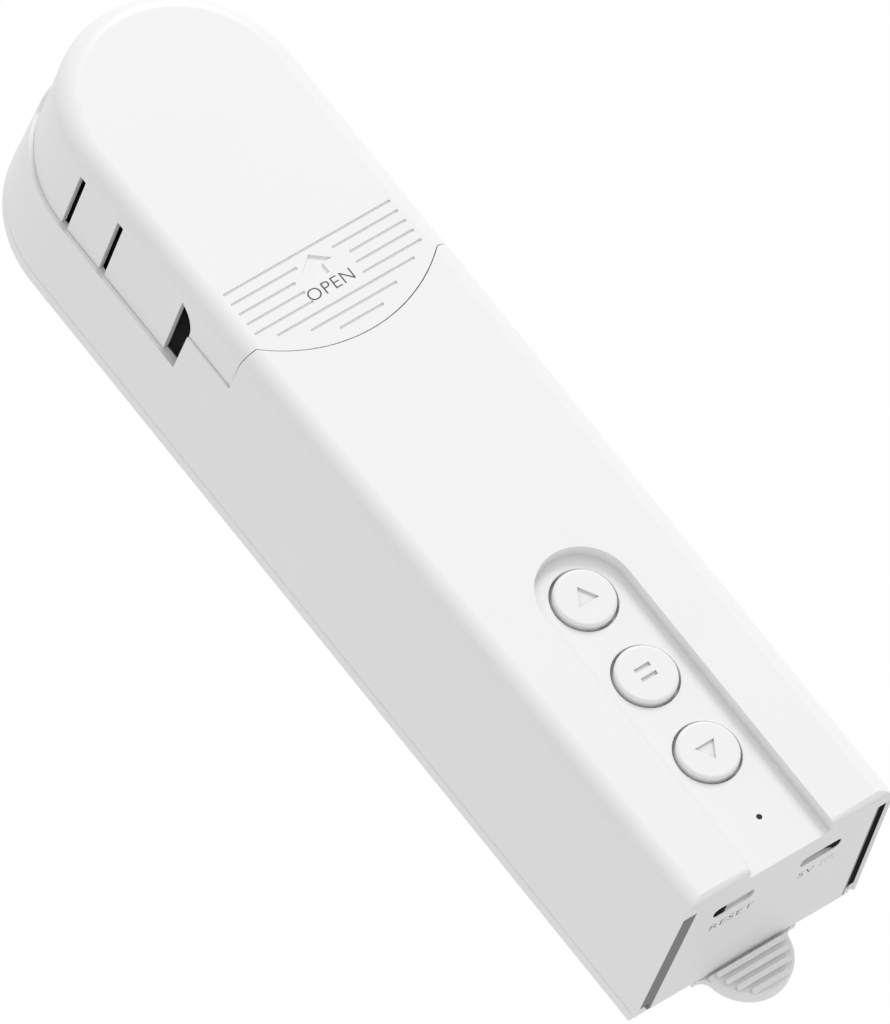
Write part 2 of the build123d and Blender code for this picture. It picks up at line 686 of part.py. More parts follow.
# Grey chassis: beams along the side walls, end bulkheads and saddles for the cell
with BuildPart() as chassis:
    for side in (-1, 1):
        with BuildSketch(level(CHEEK_LOW_Z)):
            make_face(side_strip(side, GAP_INNER, BEAM_OUT, TRAY_BACK, GAP_FRONT))
        extrude(amount=TRAY_LOW_Z - CLEAR - CHEEK_LOW_Z)
        with BuildSketch(level(CHEEK_LOW_Z)):
            make_face(side_strip(side, GAP_INNER, BEAM_OUT, TRAY_FRONT + CLEAR, GAP_FRONT))
        extrude(amount=CHASSIS_TOP_Z - CHEEK_LOW_Z)
        # Liner of the gap beside the end wall: a web across it and a flange down the outer wall
        with BuildSketch(level(END_Z + GAP_HEIGHT - CLEAR)):
            make_face(side_strip(side, GAP_INNER, LINER_OUT, TRAY_FRONT + CLEAR, GAP_FRONT))
        extrude(amount=-LINER_WEB)
        with BuildSketch(level(END_Z + GAP_HEIGHT - CLEAR)):
            make_face(side_strip(side, LINER_OUT + LINER_WALL, LINER_OUT, TRAY_FRONT + CLEAR, GAP_FRONT))
        extrude(amount=CLEAR - GAP_HEIGHT + GAP_LIP_Z)
    for plate_z in (CHASSIS_LOW_Z, CHASSIS_TOP_Z - CHASSIS_PLATE, *SADDLE_Z):
        plate_front = CELL_DEPTH if plate_z in SADDLE_Z else CHASSIS_FRONT
        with BuildSketch(level(plate_z)):
            with BuildLine():
                Polyline(
                    (-half_at(TRAY_FRONT) + GAP_INNER - CLEAR, -TRAY_FRONT - CLEAR),
                    (half_at(TRAY_FRONT) - GAP_INNER + CLEAR, -TRAY_FRONT - CLEAR),
                    (half_at(plate_front) - GAP_INNER + CLEAR, -plate_front),
                    (-half_at(plate_front) + GAP_INNER - CLEAR, -plate_front),
                    close=True,
                )
            make_face()
            if plate_z in SADDLE_Z:
                with Locations((0, -CELL_DEPTH)):
                    Circle(CELL_RADIUS, mode=Mode.SUBTRACT)
        extrude(amount=CHASSIS_PLATE)
chassis.part.label = "chassis"

# Rechargeable cell with its button end up
with BuildPart() as battery_cell:
    with BuildSketch(level(CELL_Z[0])):
        with Locations((0, -CELL_DEPTH)):
            Circle(CELL_RADIUS)
    extrude(amount=CELL_Z[1] - CELL_Z[0] - CELL_BUTTON_HEIGHT)
    fillet(battery_cell.edges().filter_by(GeomType.CIRCLE), CELL_EDGE)
    with BuildSketch(level(CELL_Z[1] - CELL_BUTTON_HEIGHT)):
        with Locations((0, -CELL_DEPTH)):
            Circle(CELL_BUTTON_RADIUS)
    extrude(amount=CELL_BUTTON_HEIGHT)
battery_cell.part.label = "battery_cell"

# Contacts of the cell: a coil under it and a plate over it
with BuildPart() as battery_contacts:
    with BuildLine() as coil:
        Helix(
            pitch=SPRING_HEIGHT / SPRING_TURNS,
            height=SPRING_HEIGHT,
            radius=SPRING_RADIUS,
            center=(0, -CELL_DEPTH, SPRING_LOW_Z),
        )
    with BuildSketch(Plane(origin=coil.line @ 0, z_dir=coil.line % 0)):
        Circle(SPRING_WIRE)
    sweep(is_frenet=True)
    with BuildSketch(level(CELL_Z[1])):
        with Locations((0, -CELL_DEPTH)):
            Circle(SPRING_RADIUS + SPRING_WIRE)
    extrude(amount=CHASSIS_TOP_Z - CHASSIS_PLATE - CELL_Z[1])
battery_contacts.part.label = "battery_contacts"

# Control board and its screws
with BuildPart() as control_board:
    with BuildSketch(front(BOARD_BACK)):
        with Locations((0, (BOARD_Z[0] + BOARD_Z[1]) / 2)):
            RectangleRounded(2 * BOARD_HALF, BOARD_Z[1] - BOARD_Z[0], BOARD_CORNER)
        with Locations(*STANDOFF_PLACES):
            Circle(BOARD_SCREW_RADIUS, mode=Mode.SUBTRACT)
    extrude(amount=BOARD_FRONT - BOARD_BACK)
control_board.part.label = "control_board"

with BuildPart() as board_screws:
    with BuildSketch(front(BOARD_BACK - BOARD_HEAD_HEIGHT)):
        with Locations(*STANDOFF_PLACES):
            Circle(BOARD_HEAD_RADIUS)
    extrude(amount=BOARD_HEAD_HEIGHT)
    with BuildSketch(front(BOARD_BACK)):
        with Locations(*STANDOFF_PLACES):
            Circle(BOARD_SCREW_RADIUS)
    extrude(amount=BOARD_SCREW_LENGTH)
board_screws.part.label = "board_screws"

# Push switches under the three buttons
with BuildPart() as tact_switches:
    with BuildSketch(front(BOARD_FRONT)):
        with Locations(*[(0, z) for z in BUTTON_Z.values()]):
            Rectangle(SWITCH_SIZE, SWITCH_SIZE)
    extrude(amount=SWITCH_FRONT - BOARD_FRONT)
    with BuildSketch(front(SWITCH_BORE_BACK)):
        with Locations(*[(0, z) for z in BUTTON_Z.values()]):
            Circle(SWITCH_BORE_RADIUS)
    extrude(amount=SWITCH_FRONT - SWITCH_BORE_BACK, mode=Mode.SUBTRACT)
tact_switches.part.label = "tact_switches"

# Charging socket: a thin metal shell with a tongue inside
with BuildPart() as usb_socket:
    with BuildSketch(level(SOCKET_Z[0])):
        with Locations((USB_X, -PORT_DEPTH)):
            RectangleRounded(SOCKET_LENGTH, PORT_HEIGHT, PORT_CORNER)
            RectangleRounded(
                SOCKET_LENGTH - 2 * SOCKET_SHELL,
                PORT_HEIGHT - 2 * SOCKET_SHELL,
                PORT_CORNER - SOCKET_SHELL,
                mode=Mode.SUBTRACT,
            )
    extrude(amount=SOCKET_Z[1] - SOCKET_Z[0])
    with BuildSketch(level(SOCKET_Z[1])):
        with Locations((USB_X, -PORT_DEPTH)):
            RectangleRounded(SOCKET_LENGTH, PORT_HEIGHT, PORT_CORNER)
    extrude(amount=SOCKET_SHELL)
    with BuildSketch(level(SOCKET_Z[0] + SOCKET_SHELL)):
        with Locations((USB_X, -PORT_DEPTH)):
            Rectangle(TONGUE_LENGTH, TONGUE_HEIGHT)
    extrude(amount=SOCKET_Z[1] - SOCKET_Z[0] - SOCKET_SHELL)
usb_socket.part.label = "usb_socket"

# Radio module under its can
with BuildPart() as radio_module:
    with BuildSketch(front(BOARD_FRONT)):
        with Locations((0, (RADIO_Z[0] + RADIO_Z[1]) / 2)):
            Rectangle(RADIO_LENGTH, RADIO_Z[1] - RADIO_Z[0])
    extrude(amount=RADIO_HEIGHT)
    fillet(radio_module.faces().sort_by(Axis.Y)[0].edges(), SMALL_EDGE)
radio_module.part.label = "radio_module"

# Indicator: diode on the board and the light pipe that reaches into the pinhole
with BuildPart() as status_led:
    with BuildSketch(front(BOARD_FRONT)):
        with Locations((0, LED_Z)):
            Rectangle(LED_LENGTH, LED_WIDTH)
    extrude(amount=LED_HEIGHT)
status_led.part.label = "status_led"

with BuildPart() as light_pipe:
    with BuildSketch(front(BOARD_FRONT + LED_HEIGHT)):
        with Locations((0, LED_Z)):
            Circle(PIPE_RADIUS)
    extrude(amount=FLOOR_INNER - BOARD_FRONT - LED_HEIGHT)
    with BuildSketch(front(FLOOR_INNER)):
        with Locations((0, LED_Z)):
            Circle(PIPE_TIP_RADIUS)
    extrude(amount=WALL - CLEAR)
light_pipe.part.label = "light_pipe"

# Switch behind the reset button, pressed from below
with BuildPart() as reset_switch:
    with BuildSketch(front(BOARD_FRONT)):
        with Locations((RESET_BUTTON_X, (RESET_SWITCH_Z[0] + RESET_SWITCH_Z[1]) / 2)):
            Rectangle(RESET_SWITCH_LENGTH, RESET_SWITCH_Z[1] - RESET_SWITCH_Z[0])
    extrude(amount=RESET_SWITCH_FRONT - BOARD_FRONT)
    with BuildSketch(level(RESET_SWITCH_Z[0])):
        with Locations((RESET_BUTTON_X, -PORT_DEPTH)):
            Rectangle(2 * (RESET_STEM_HALF + CLEAR), 2 * (RESET_STEM_HALF + CLEAR))
    extrude(amount=RESET_BORE_TOP_Z - RESET_SWITCH_Z[0], mode=Mode.SUBTRACT)
reset_switch.part.label = "reset_switch"

with BuildPart() as reset_button:
    with BuildSketch(level(RESET_FACE_Z)):
        with Locations((RESET_BUTTON_X, -PORT_DEPTH)):
            Rectangle(2 * RESET_BUTTON_HALF, RESET_BUTTON_HEIGHT)
    extrude(amount=RESET_FLANGE_Z - RESET_FACE_Z)
    with BuildSketch(level(RESET_FLANGE_Z)):
        with Locations((RESET_BUTTON_X, -PORT_DEPTH)):
            Rectangle(2 * (RESET_BUTTON_HALF + RESET_FLANGE), RESET_BUTTON_HEIGHT + 2 * RESET_FLANGE)
    extrude(amount=RESET_FLANGE)
    with BuildSketch(level(RESET_FLANGE_Z + RESET_FLANGE)):
        with Locations((RESET_BUTTON_X, -PORT_DEPTH)):
            Rectangle(2 * RESET_STEM_HALF, 2 * RESET_STEM_HALF)
    extrude(amount=RESET_STEM_TOP_Z - RESET_FLANGE_Z - RESET_FLANGE)
reset_button.part.label = "reset_button"

# Motor can with rolled edges, and the end cap under it
with BuildPart() as motor_can:
    with BuildSketch(level(MOTOR_LOW_Z)):
        with Locations((0, -AXIS_DEPTH)):
            Circle(MOTOR_RADIUS)
    extrude(amount=CAN_HEIGHT)
    fillet(motor_can.edges().filter_by(GeomType.CIRCLE), CAN_ROLL)
motor_can.part.label = "motor_can"

with BuildPart() as motor_end_cap:
    with BuildSketch(level(MOTOR_LOW_Z - END_CAP_HEIGHT)):
        with Locations((0, -AXIS_DEPTH)):
            Circle(END_CAP_RADIUS)
    extrude(amount=END_CAP_HEIGHT)
motor_end_cap.part.label = "motor_end_cap"

# Planetary gearbox: ringed housing, and the faceplate whose boss is the shaft's bearing
with BuildPart() as gearbox_housing:
    with BuildSketch(level(GEARBOX_LOW_Z)):
        with Locations((0, -AXIS_DEPTH)):
            Circle(GEARBOX_RADIUS)
    extrude(amount=GEARBOX_HEIGHT)
    for ring in range(1, GEARBOX_GROOVES + 1):
        with BuildSketch(level(GEARBOX_LOW_Z + ring * GEARBOX_HEIGHT / (GEARBOX_GROOVES + 1))):
            with Locations((0, -AXIS_DEPTH)):
                Circle(GEARBOX_RADIUS)
                Circle(GEARBOX_RADIUS - CAN_ROLL, mode=Mode.SUBTRACT)
        extrude(amount=CAN_ROLL, mode=Mode.SUBTRACT)
    with BuildSketch(level(FACEPLATE_LOW_Z)):
        with Locations((0, -AXIS_DEPTH)):
            Circle(SHAFT_RADIUS + CLEAR)
    extrude(amount=-2 * FACEPLATE_HEIGHT, mode=Mode.SUBTRACT)
gearbox_housing.part.label = "gearbox_housing"

with BuildPart() as gearbox_faceplate:
    with BuildSketch(level(FACEPLATE_LOW_Z)):
        with Locations((0, -AXIS_DEPTH)):
            Circle(GEARBOX_RADIUS)
    extrude(amount=FACEPLATE_HEIGHT)
    with BuildSketch(level(FACEPLATE_LOW_Z + FACEPLATE_HEIGHT)):
        with Locations((0, -AXIS_DEPTH)):
            Circle(FACEPLATE_BOSS_RADIUS)
    extrude(amount=FACEPLATE_BOSS_HEIGHT)
    with BuildSketch(level(FACEPLATE_LOW_Z)):
        with Locations((0, -AXIS_DEPTH)):
            Circle(SHAFT_RADIUS + RUNNING_PLAY)
        with Locations(*[(x, -AXIS_DEPTH) for x in (-FACEPLATE_SCREW_X, FACEPLATE_SCREW_X)]):
            Circle(FACEPLATE_SCREW_RADIUS)
    extrude(amount=FACEPLATE_HEIGHT + FACEPLATE_BOSS_HEIGHT, mode=Mode.SUBTRACT)
gearbox_faceplate.part.label = "gearbox_faceplate"

with BuildPart() as gearbox_screws:
    with BuildSketch(level(FACEPLATE_LOW_Z)):
        with Locations(*[(x, -AXIS_DEPTH) for x in (-FACEPLATE_SCREW_X, FACEPLATE_SCREW_X)]):
            Circle(FACEPLATE_SCREW_RADIUS)
    extrude(amount=FACEPLATE_HEIGHT + BULKHEAD)
    with BuildSketch(level(CASE_LOW_Z + BULKHEAD)):
        with Locations(*[(x, -AXIS_DEPTH) for x in (-FACEPLATE_SCREW_X, FACEPLATE_SCREW_X)]):
            Circle(FACEPLATE_HEAD_RADIUS)
    extrude(amount=FACEPLATE_HEAD_HEIGHT)
gearbox_screws.part.label = "gearbox_screws"

# The gears share the apex where their axes cross
gear_apex = Plane(origin=(0, -AXIS_DEPTH, ROUND_Z), x_dir=(0, 0, -1), z_dir=(0, 1, 0))
pinion_apex = Plane(origin=(0, -AXIS_DEPTH, ROUND_Z), x_dir=(0, 1, 0), z_dir=(0, 0, -1))

with BuildPart() as bevel_gear:
    with BuildSketch(axial_plane(gear_apex)):
        make_face(
            blank_profile(
                AXLE_RADIUS, GEAR_RADIUS, PINION_RADIUS, GEAR_RIM_END, GEAR_HUB_RADIUS, GEAR_HUB_END
            )
        )
    revolve(axis=Axis(gear_apex.origin, gear_apex.z_dir))
    for tooth in range(GEAR_TEETH):
        turn = tooth * 360 / GEAR_TEETH
        for scale in (1, TOE):
            with BuildSketch(tooth_plane(gear_apex, turn, GEAR_RADIUS, PINION_RADIUS, scale)):
                make_face(tooth_outline(scale))
        loft(ruled=True)
bevel_gear.part.label = "bevel_gear"

with BuildPart() as bevel_pinion:
    with BuildSketch(axial_plane(pinion_apex)):
        make_face(
            blank_profile(
                SHAFT_RADIUS, PINION_RADIUS, GEAR_RADIUS, PINION_RIM_END, PINION_HUB_RADIUS, PINION_HUB_END
            )
        )
    revolve(axis=Axis(pinion_apex.origin, pinion_apex.z_dir))
    for tooth in range(PINION_TEETH):
        turn = (tooth + 0.5) * 360 / PINION_TEETH
        for scale in (1, TOE):
            with BuildSketch(tooth_plane(pinion_apex, turn, PINION_RADIUS, GEAR_RADIUS, scale)):
                make_face(tooth_outline(scale))
        loft(ruled=True)
bevel_pinion.part.label = "bevel_pinion"

# Output shaft of the gearbox
with BuildPart() as output_shaft:
    with BuildSketch(level(FACEPLATE_LOW_Z - FACEPLATE_HEIGHT)):
        with Locations((0, -AXIS_DEPTH)):
            Circle(SHAFT_RADIUS)
    extrude(amount=ROUND_Z - GEAR_RADIUS * TOE - FACEPLATE_LOW_Z + FACEPLATE_HEIGHT)
output_shaft.part.label = "output_shaft"

# Sprocket: a wheel with a spherical pocket for each ball and a groove for the cord between balls
with BuildPart() as chain_sprocket:
    with BuildSketch(front(SPROCKET_BACK)):
        with Locations((0, ROUND_Z)):
            Circle(SPROCKET_RADIUS)
            Circle(AXLE_RADIUS, mode=Mode.SUBTRACT)
    extrude(amount=SPROCKET_FRONT - SPROCKET_BACK)
    chamfer(
        chain_sprocket.edges().filter_by(GeomType.CIRCLE).group_by(SortBy.RADIUS)[-1], SPROCKET_EDGE
    )
    with BuildSketch(front(HEAD_SEAT_DEPTH)):
        with Locations((0, ROUND_Z)):
            Circle(SPROCKET_HEAD_RADIUS + CLEAR)
    extrude(amount=SPROCKET_FRONT - HEAD_SEAT_DEPTH, mode=Mode.SUBTRACT)
    with BuildSketch(front(CHAIN_DEPTH - LINK_GROOVE / 2)):
        with Locations((0, ROUND_Z)):
            Circle(SPROCKET_RADIUS)
            Circle(LINK_GROOVE_RADIUS, mode=Mode.SUBTRACT)
    extrude(amount=LINK_GROOVE, mode=Mode.SUBTRACT)
    for pocket in range(BALL_POCKETS):
        turn = radians(pocket * 360 / BALL_POCKETS)
        centre = (CHAIN_RADIUS * sin(turn), -CHAIN_DEPTH, ROUND_Z + CHAIN_RADIUS * cos(turn))
        with BuildSketch(Plane(origin=centre, x_dir=(0, 0, 1), z_dir=(1, 0, 0))):
            with BuildLine():
                CenterArc((0, 0), POCKET_RADIUS, 0, 180)
                Line((-POCKET_RADIUS, 0), (POCKET_RADIUS, 0))
            make_face()
        revolve(axis=Axis(centre, (0, 0, 1)), mode=Mode.SUBTRACT)
chain_sprocket.part.label = "chain_sprocket"

with BuildPart() as sprocket_axle:
    with BuildSketch(front(TRAY_FRONT + 2 * CLEAR)):
        with Locations((0, ROUND_Z)):
            Circle(AXLE_RADIUS)
    extrude(amount=HEAD_SEAT_DEPTH - TRAY_FRONT - 2 * CLEAR)
    with BuildSketch(front(HEAD_SEAT_DEPTH)):
        with Locations((0, ROUND_Z)):
            Circle(FACEPLATE_SCREW_RADIUS)
    extrude(amount=-SPROCKET_SCREW_DEPTH, mode=Mode.SUBTRACT)
sprocket_axle.part.label = "sprocket_axle"

# Screw that keeps the sprocket on its axle, sunk below its face, with a cross recess
with BuildPart() as sprocket_screw:
    with BuildSketch(front(HEAD_SEAT_DEPTH)):
        with Locations((0, ROUND_Z)):
            Circle(SPROCKET_HEAD_RADIUS)
    extrude(amount=SPROCKET_HEAD_HEIGHT)
    fillet(sprocket_screw.faces().sort_by(Axis.Y)[0].edges(), SMALL_EDGE)
    with BuildSketch(front(HEAD_SEAT_DEPTH)):
        with Locations((0, ROUND_Z)):
            Circle(FACEPLATE_SCREW_RADIUS)
    extrude(amount=-SPROCKET_SCREW_DEPTH)
    with BuildSketch(front(HEAD_SEAT_DEPTH + SPROCKET_HEAD_HEIGHT / 2)):
        with Locations((0, ROUND_Z)):
            Rectangle(SPROCKET_HEAD_RADIUS, CROSS_WIDTH)
            Rectangle(CROSS_WIDTH, SPROCKET_HEAD_RADIUS)
    extrude(amount=SPROCKET_HEAD_HEIGHT, mode=Mode.SUBTRACT)
sprocket_screw.part.label = "sprocket_screw"

# Bearings of the axle
with BuildPart() as rear_bearing:
    with BuildSketch(front(TRAY_FRONT)):
        with Locations((0, ROUND_Z)):
            Circle(BEARING_RADIUS)
            Circle(AXLE_RADIUS + RUNNING_PLAY, mode=Mode.SUBTRACT)
    extrude(amount=BEARING_HEIGHT)
rear_bearing.part.label = "rear_bearing"

with BuildPart() as front_bush:
    with BuildSketch(front(BUSH_BACK)):
        with Locations((0, ROUND_Z)):
            Circle(BUSH_RADIUS)
    extrude(amount=DECK_FRONT - BUSH_BACK)
    with BuildSketch(front(DECK_FRONT)):
        with Locations((0, ROUND_Z)):
            Circle(BUSH_FLANGE_RADIUS)
    extrude(amount=BUSH_FLANGE)
    with BuildSketch(front(BUSH_BACK)):
        with Locations((0, ROUND_Z)):
            Circle(AXLE_RADIUS + RUNNING_PLAY)
    extrude(amount=DECK_FRONT + BUSH_FLANGE - BUSH_BACK, mode=Mode.SUBTRACT)
front_bush.part.label = "front_bush"

# White wall bracket: a flat plate and a raised pad, hooks to hang on, and a gap for the latch
with BuildPart() as wall_bracket:
    with BuildSketch(front(0)):
        make_face(round_ended(BACK_HALF, PLATE_END_Z))
    extrude(amount=PLATE_DEPTH)
    with BuildSketch(front(PLATE_DEPTH)):
        make_face(round_ended(PAD_HALF, PLATE_END_Z))
    extrude(amount=PAD_DEPTH - PLATE_DEPTH)
    with BuildSketch(front(PAD_DEPTH)):
        with Locations(*[(x, z) for x in (-HOOK_X, HOOK_X) for z in HOOK_Z]):
            Rectangle(2 * HOOK_HALF, HOOK_HEIGHT, align=(Align.CENTER, Align.MIN))
    extrude(amount=HOOK_BACK - PAD_DEPTH)
    with BuildSketch(front(HOOK_BACK)):
        with Locations(*[(x, z) for x in (-HOOK_X, HOOK_X) for z in HOOK_Z]):
            Rectangle(2 * HOOK_HALF, 2 * HOOK_HEIGHT, align=(Align.CENTER, Align.MIN))
    extrude(amount=HOOK_LIP)
    with BuildSketch(front(0)):
        with Locations((0, LATCH_TOP_Z)):
            Rectangle(2 * (LATCH_HALF + LATCH_GAP), LENGTH, align=(Align.CENTER, Align.MAX))
    extrude(amount=PAD_DEPTH, mode=Mode.SUBTRACT)
    with BuildSketch(Plane.YZ):
        with Locations((-KNUCKLE_DEPTH, LATCH_TOP_Z)):
            Circle(KNUCKLE_RADIUS + KNUCKLE_PLAY)
    extrude(amount=LATCH_HALF + LATCH_GAP, both=True, mode=Mode.SUBTRACT)
    wall_holes = [Plane(origin=(0, -PAD_DEPTH, z), z_dir=(0, -1, 0)) for z in (-WALL_HOLE_Z, WALL_HOLE_Z)]
    with Locations(*wall_holes):
        CounterSinkHole(WALL_HOLE_RADIUS, WALL_HEAD_RADIUS, depth=PAD_DEPTH)
wall_bracket.part.label = "wall_bracket"

# Release latch: an arm that turns in the bracket, a nose, and a ribbed tab below the end
with BuildPart() as release_latch:
    arm_top_z = LATCH_TOP_Z - KNUCKLE_PLAY
    tab_side = (TAB_RADIUS**2 - TAB_FLARE**2) ** 0.5
    flare_x, flare_z = TAB_FLARE_MIDDLE
    pad_side = (TAB_RADIUS**2 - TAB_DROP**2) ** 0.5
    with BuildSketch(front(LATCH_BACK)):
        with BuildLine():
            Polyline(
                (-LATCH_HALF, END_Z), (-LATCH_HALF, arm_top_z), (LATCH_HALF, arm_top_z), (LATCH_HALF, END_Z)
            )
            ThreePointArc((LATCH_HALF, END_Z), (flare_x, flare_z), (tab_side, END_Z - TAB_FLARE))
            ThreePointArc(
                (tab_side, END_Z - TAB_FLARE), (0, END_Z - TAB_RADIUS), (-tab_side, END_Z - TAB_FLARE)
            )
            ThreePointArc((-tab_side, END_Z - TAB_FLARE), (-flare_x, flare_z), (-LATCH_HALF, END_Z))
        make_face()
    extrude(amount=LATCH_FRONT - LATCH_BACK)
    # Thicker pad for the thumb, clear of the end wall
    with BuildSketch(front(LATCH_FRONT)):
        with BuildLine():
            Line((-pad_side, END_Z - TAB_DROP), (pad_side, END_Z - TAB_DROP))
            ThreePointArc(
                (pad_side, END_Z - TAB_DROP), (0, END_Z - TAB_RADIUS), (-pad_side, END_Z - TAB_DROP)
            )
        make_face()
    extrude(amount=TAB_FRONT - LATCH_FRONT)
    fillet(release_latch.faces().sort_by(Axis.Y)[0].edges().group_by(Axis.Z)[0], SMALL_EDGE)
    with BuildSketch(Plane.YZ):
        with Locations((-KNUCKLE_DEPTH, LATCH_TOP_Z)):
            Circle(KNUCKLE_RADIUS)
    extrude(amount=LATCH_HALF, both=True)
    with BuildSketch(front(LATCH_FRONT)):
        with Locations((0, NOSE_Z)):
            Rectangle(2 * NOSE_HALF, NOSE_LENGTH)
    extrude(amount=NOSE_HEIGHT)
    with BuildSketch(front(TAB_FRONT)):
        for rib in range(TAB_RIBS):
            rib_drop = TAB_RADIUS - RIB_PITCH * (rib + 0.9)
            rib_half = (TAB_RADIUS**2 - rib_drop**2) ** 0.5 - RIB_WIDTH
            with Locations((0, END_Z - rib_drop)):
                SlotOverall(2 * rib_half, RIB_WIDTH)
    extrude(amount=RIB_HEIGHT)
release_latch.part.label = "release_latch"

# One button cap for each of the three commands
button_caps = {}
for command, button_z in BUTTON_Z.items():
    with BuildPart() as cap:
        with BuildSketch(front(BUTTON_BACK)):
            with Locations((0, button_z)):
                Circle(BUTTON_FLANGE_RADIUS)
        extrude(amount=BUTTON_FLANGE)
        with BuildSketch(front(BUTTON_BACK + BUTTON_FLANGE)):
            with Locations((0, button_z)):
                Circle(BUTTON_RADIUS)
        extrude(amount=FLOOR_DEPTH + BUTTON_RISE - BUTTON_BACK - BUTTON_FLANGE)
        fillet(cap.faces().sort_by(Axis.Y)[0].edges(), SMALL_EDGE)
    cap.part.label = f"button_{command}"
    button_caps[command] = cap.part

# Each cap bears on the plunger of its switch
plungers = {}
for command, button_z in BUTTON_Z.items():
    with BuildPart() as plunger:
        with BuildSketch(front(PLUNGER_BACK)):
            with Locations((0, button_z)):
                Circle(PLUNGER_RADIUS)
        extrude(amount=BUTTON_BACK - PLUNGER_BACK)
    plunger.part.label = f"switch_plunger_{command}"
    plungers[command] = plunger.part

os.makedirs("parts", exist_ok=True)
export_step(front_shell.part, "parts/front_shell.step")
export_step(front_cover.part, "parts/front_cover.step")
export_step(rear_tray.part, "parts/rear_tray.step")
export_step(case_screws.part, "parts/case_screws.step")
export_step(gear_case.part, "parts/gear_case.step")
export_step(chassis.part, "parts/chassis.step")
export_step(battery_cell.part, "parts/battery_cell.step")
export_step(battery_contacts.part, "parts/battery_contacts.step")
export_step(control_board.part, "parts/control_board.step")
export_step(board_screws.part, "parts/board_screws.step")
export_step(tact_switches.part, "parts/tact_switches.step")
export_step(usb_socket.part, "parts/usb_socket.step")
export_step(radio_module.part, "parts/radio_module.step")
export_step(status_led.part, "parts/status_led.step")
export_step(light_pipe.part, "parts/light_pipe.step")
export_step(reset_switch.part, "parts/reset_switch.step")
export_step(reset_button.part, "parts/reset_button.step")
export_step(motor_can.part, "parts/motor_can.step")
export_step(motor_end_cap.part, "parts/motor_end_cap.step")
export_step(gearbox_housing.part, "parts/gearbox_housing.step")
export_step(gearbox_faceplate.part, "parts/gearbox_faceplate.step")
export_step(gearbox_screws.part, "parts/gearbox_screws.step")
export_step(bevel_gear.part, "parts/bevel_gear.step")
export_step(bevel_pinion.part, "parts/bevel_pinion.step")
export_step(output_shaft.part, "parts/output_shaft.step")
export_step(chain_sprocket.part, "parts/chain_sprocket.step")
export_step(sprocket_axle.part, "parts/sprocket_axle.step")
export_step(sprocket_screw.part, "parts/sprocket_screw.step")
export_step(rear_bearing.part, "parts/rear_bearing.step")
export_step(front_bush.part, "parts/front_bush.step")
export_step(wall_bracket.part, "parts/wall_bracket.step")
export_step(release_latch.part, "parts/release_latch.step")
for command in BUTTON_Z:
    export_step(button_caps[command], f"parts/button_{command}.step")
    export_step(plungers[command], f"parts/switch_plunger_{command}.step")
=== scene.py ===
import logging
import math
from dataclasses import dataclass, field
from enum import Enum

import bmesh
import bpy
from mathutils import Matrix, Vector
from mathutils.kdtree import KDTree


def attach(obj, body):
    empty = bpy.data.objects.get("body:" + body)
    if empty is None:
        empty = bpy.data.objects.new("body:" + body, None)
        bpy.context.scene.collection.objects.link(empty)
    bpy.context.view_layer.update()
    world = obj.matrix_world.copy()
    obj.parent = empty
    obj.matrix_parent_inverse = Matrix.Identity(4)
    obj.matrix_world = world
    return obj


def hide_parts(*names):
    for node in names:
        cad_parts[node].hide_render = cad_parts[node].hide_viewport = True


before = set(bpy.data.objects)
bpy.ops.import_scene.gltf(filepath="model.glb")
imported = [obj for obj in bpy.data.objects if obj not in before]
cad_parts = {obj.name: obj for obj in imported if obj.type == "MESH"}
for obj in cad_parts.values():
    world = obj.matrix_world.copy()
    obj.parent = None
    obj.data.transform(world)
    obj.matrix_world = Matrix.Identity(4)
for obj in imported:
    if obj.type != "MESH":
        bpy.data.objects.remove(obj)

LOG = logging.getLogger("curtain_motor")
# Sizes are in mm, and become metres where a mesh, lamp or camera is made.
MM = 0.001
# The front face lies this far in front of the wall, and the lower end's face at this height.
FRONT_DEPTH = 35.1
END_Z = -85.0
# Corners of a CAD mesh that are nearer than this are one vertex.
MERGE = 0.001 * MM
# How far a vertex may lie from its CAD place, and how alike two faces of one surface are.
NEAR = 0.002 * MM
ALIKE = 0.999
WHITE = (1.0, 1.0, 1.0, 1.0)
# Objects of the software's start-up file, which the scene doesn't use.
START_UP = ("Cube", "Light", "Camera")


class Slot(Enum):
    """Material slots of the record, each with its own finish."""

    SHELL = "shell_plastic"
    BUTTON = "button_plastic"
    CHASSIS = "chassis_plastic"
    BLACK = "black_plastic"
    GEAR = "gear_plastic"
    BRASS = "pinion_brass"
    STEEL = "steel"
    CONTACT = "contact_chrome"
    WRAP = "cell_wrap"
    BOARD = "board"
    LED = "led"
    PIPE = "light_pipe"


class Command(Enum):
    """The three buttons in the channel, by the word of their node."""

    UP = "up"
    PAUSE = "pause"
    DOWN = "down"


class Side(Enum):
    """Sides of the part, seen from the front, by the sign of their x."""

    LEFT = -1
    RIGHT = 1


def linear(code: str) -> tuple[float, float, float, float]:
    """Turns an sRGB hex colour into the linear colour that a shader socket takes.

    Its numbers are those of the sRGB standard.

    Args:
        code: Six hex digits, such as "F0F0EE".

    Returns:
        Red, green, blue and an alpha of 1.
    """
    parts = [int(code[i : i + 2], 16) / 255 for i in (0, 2, 4)]
    red, green, blue = (p / 12.92 if p <= 0.04045 else ((p + 0.055) / 1.055) ** 2.4 for p in parts)
    return (red, green, blue, 1.0)


def darker(colour: tuple[float, ...], part: float) -> tuple[float, ...]:
    """Gives a linear colour with this part of it taken away."""
    return tuple(c * (1 - part) for c in colour[:3]) + (1.0,)


def empty_material(name: str) -> bpy.types.Material:
    """Makes a material whose node tree is empty.

    Args:
        name: Name of the material.

    Returns:
        The material.
    """
    material = bpy.data.materials.new(name)
    material.use_nodes = True
    material.node_tree.nodes.clear()
    return material


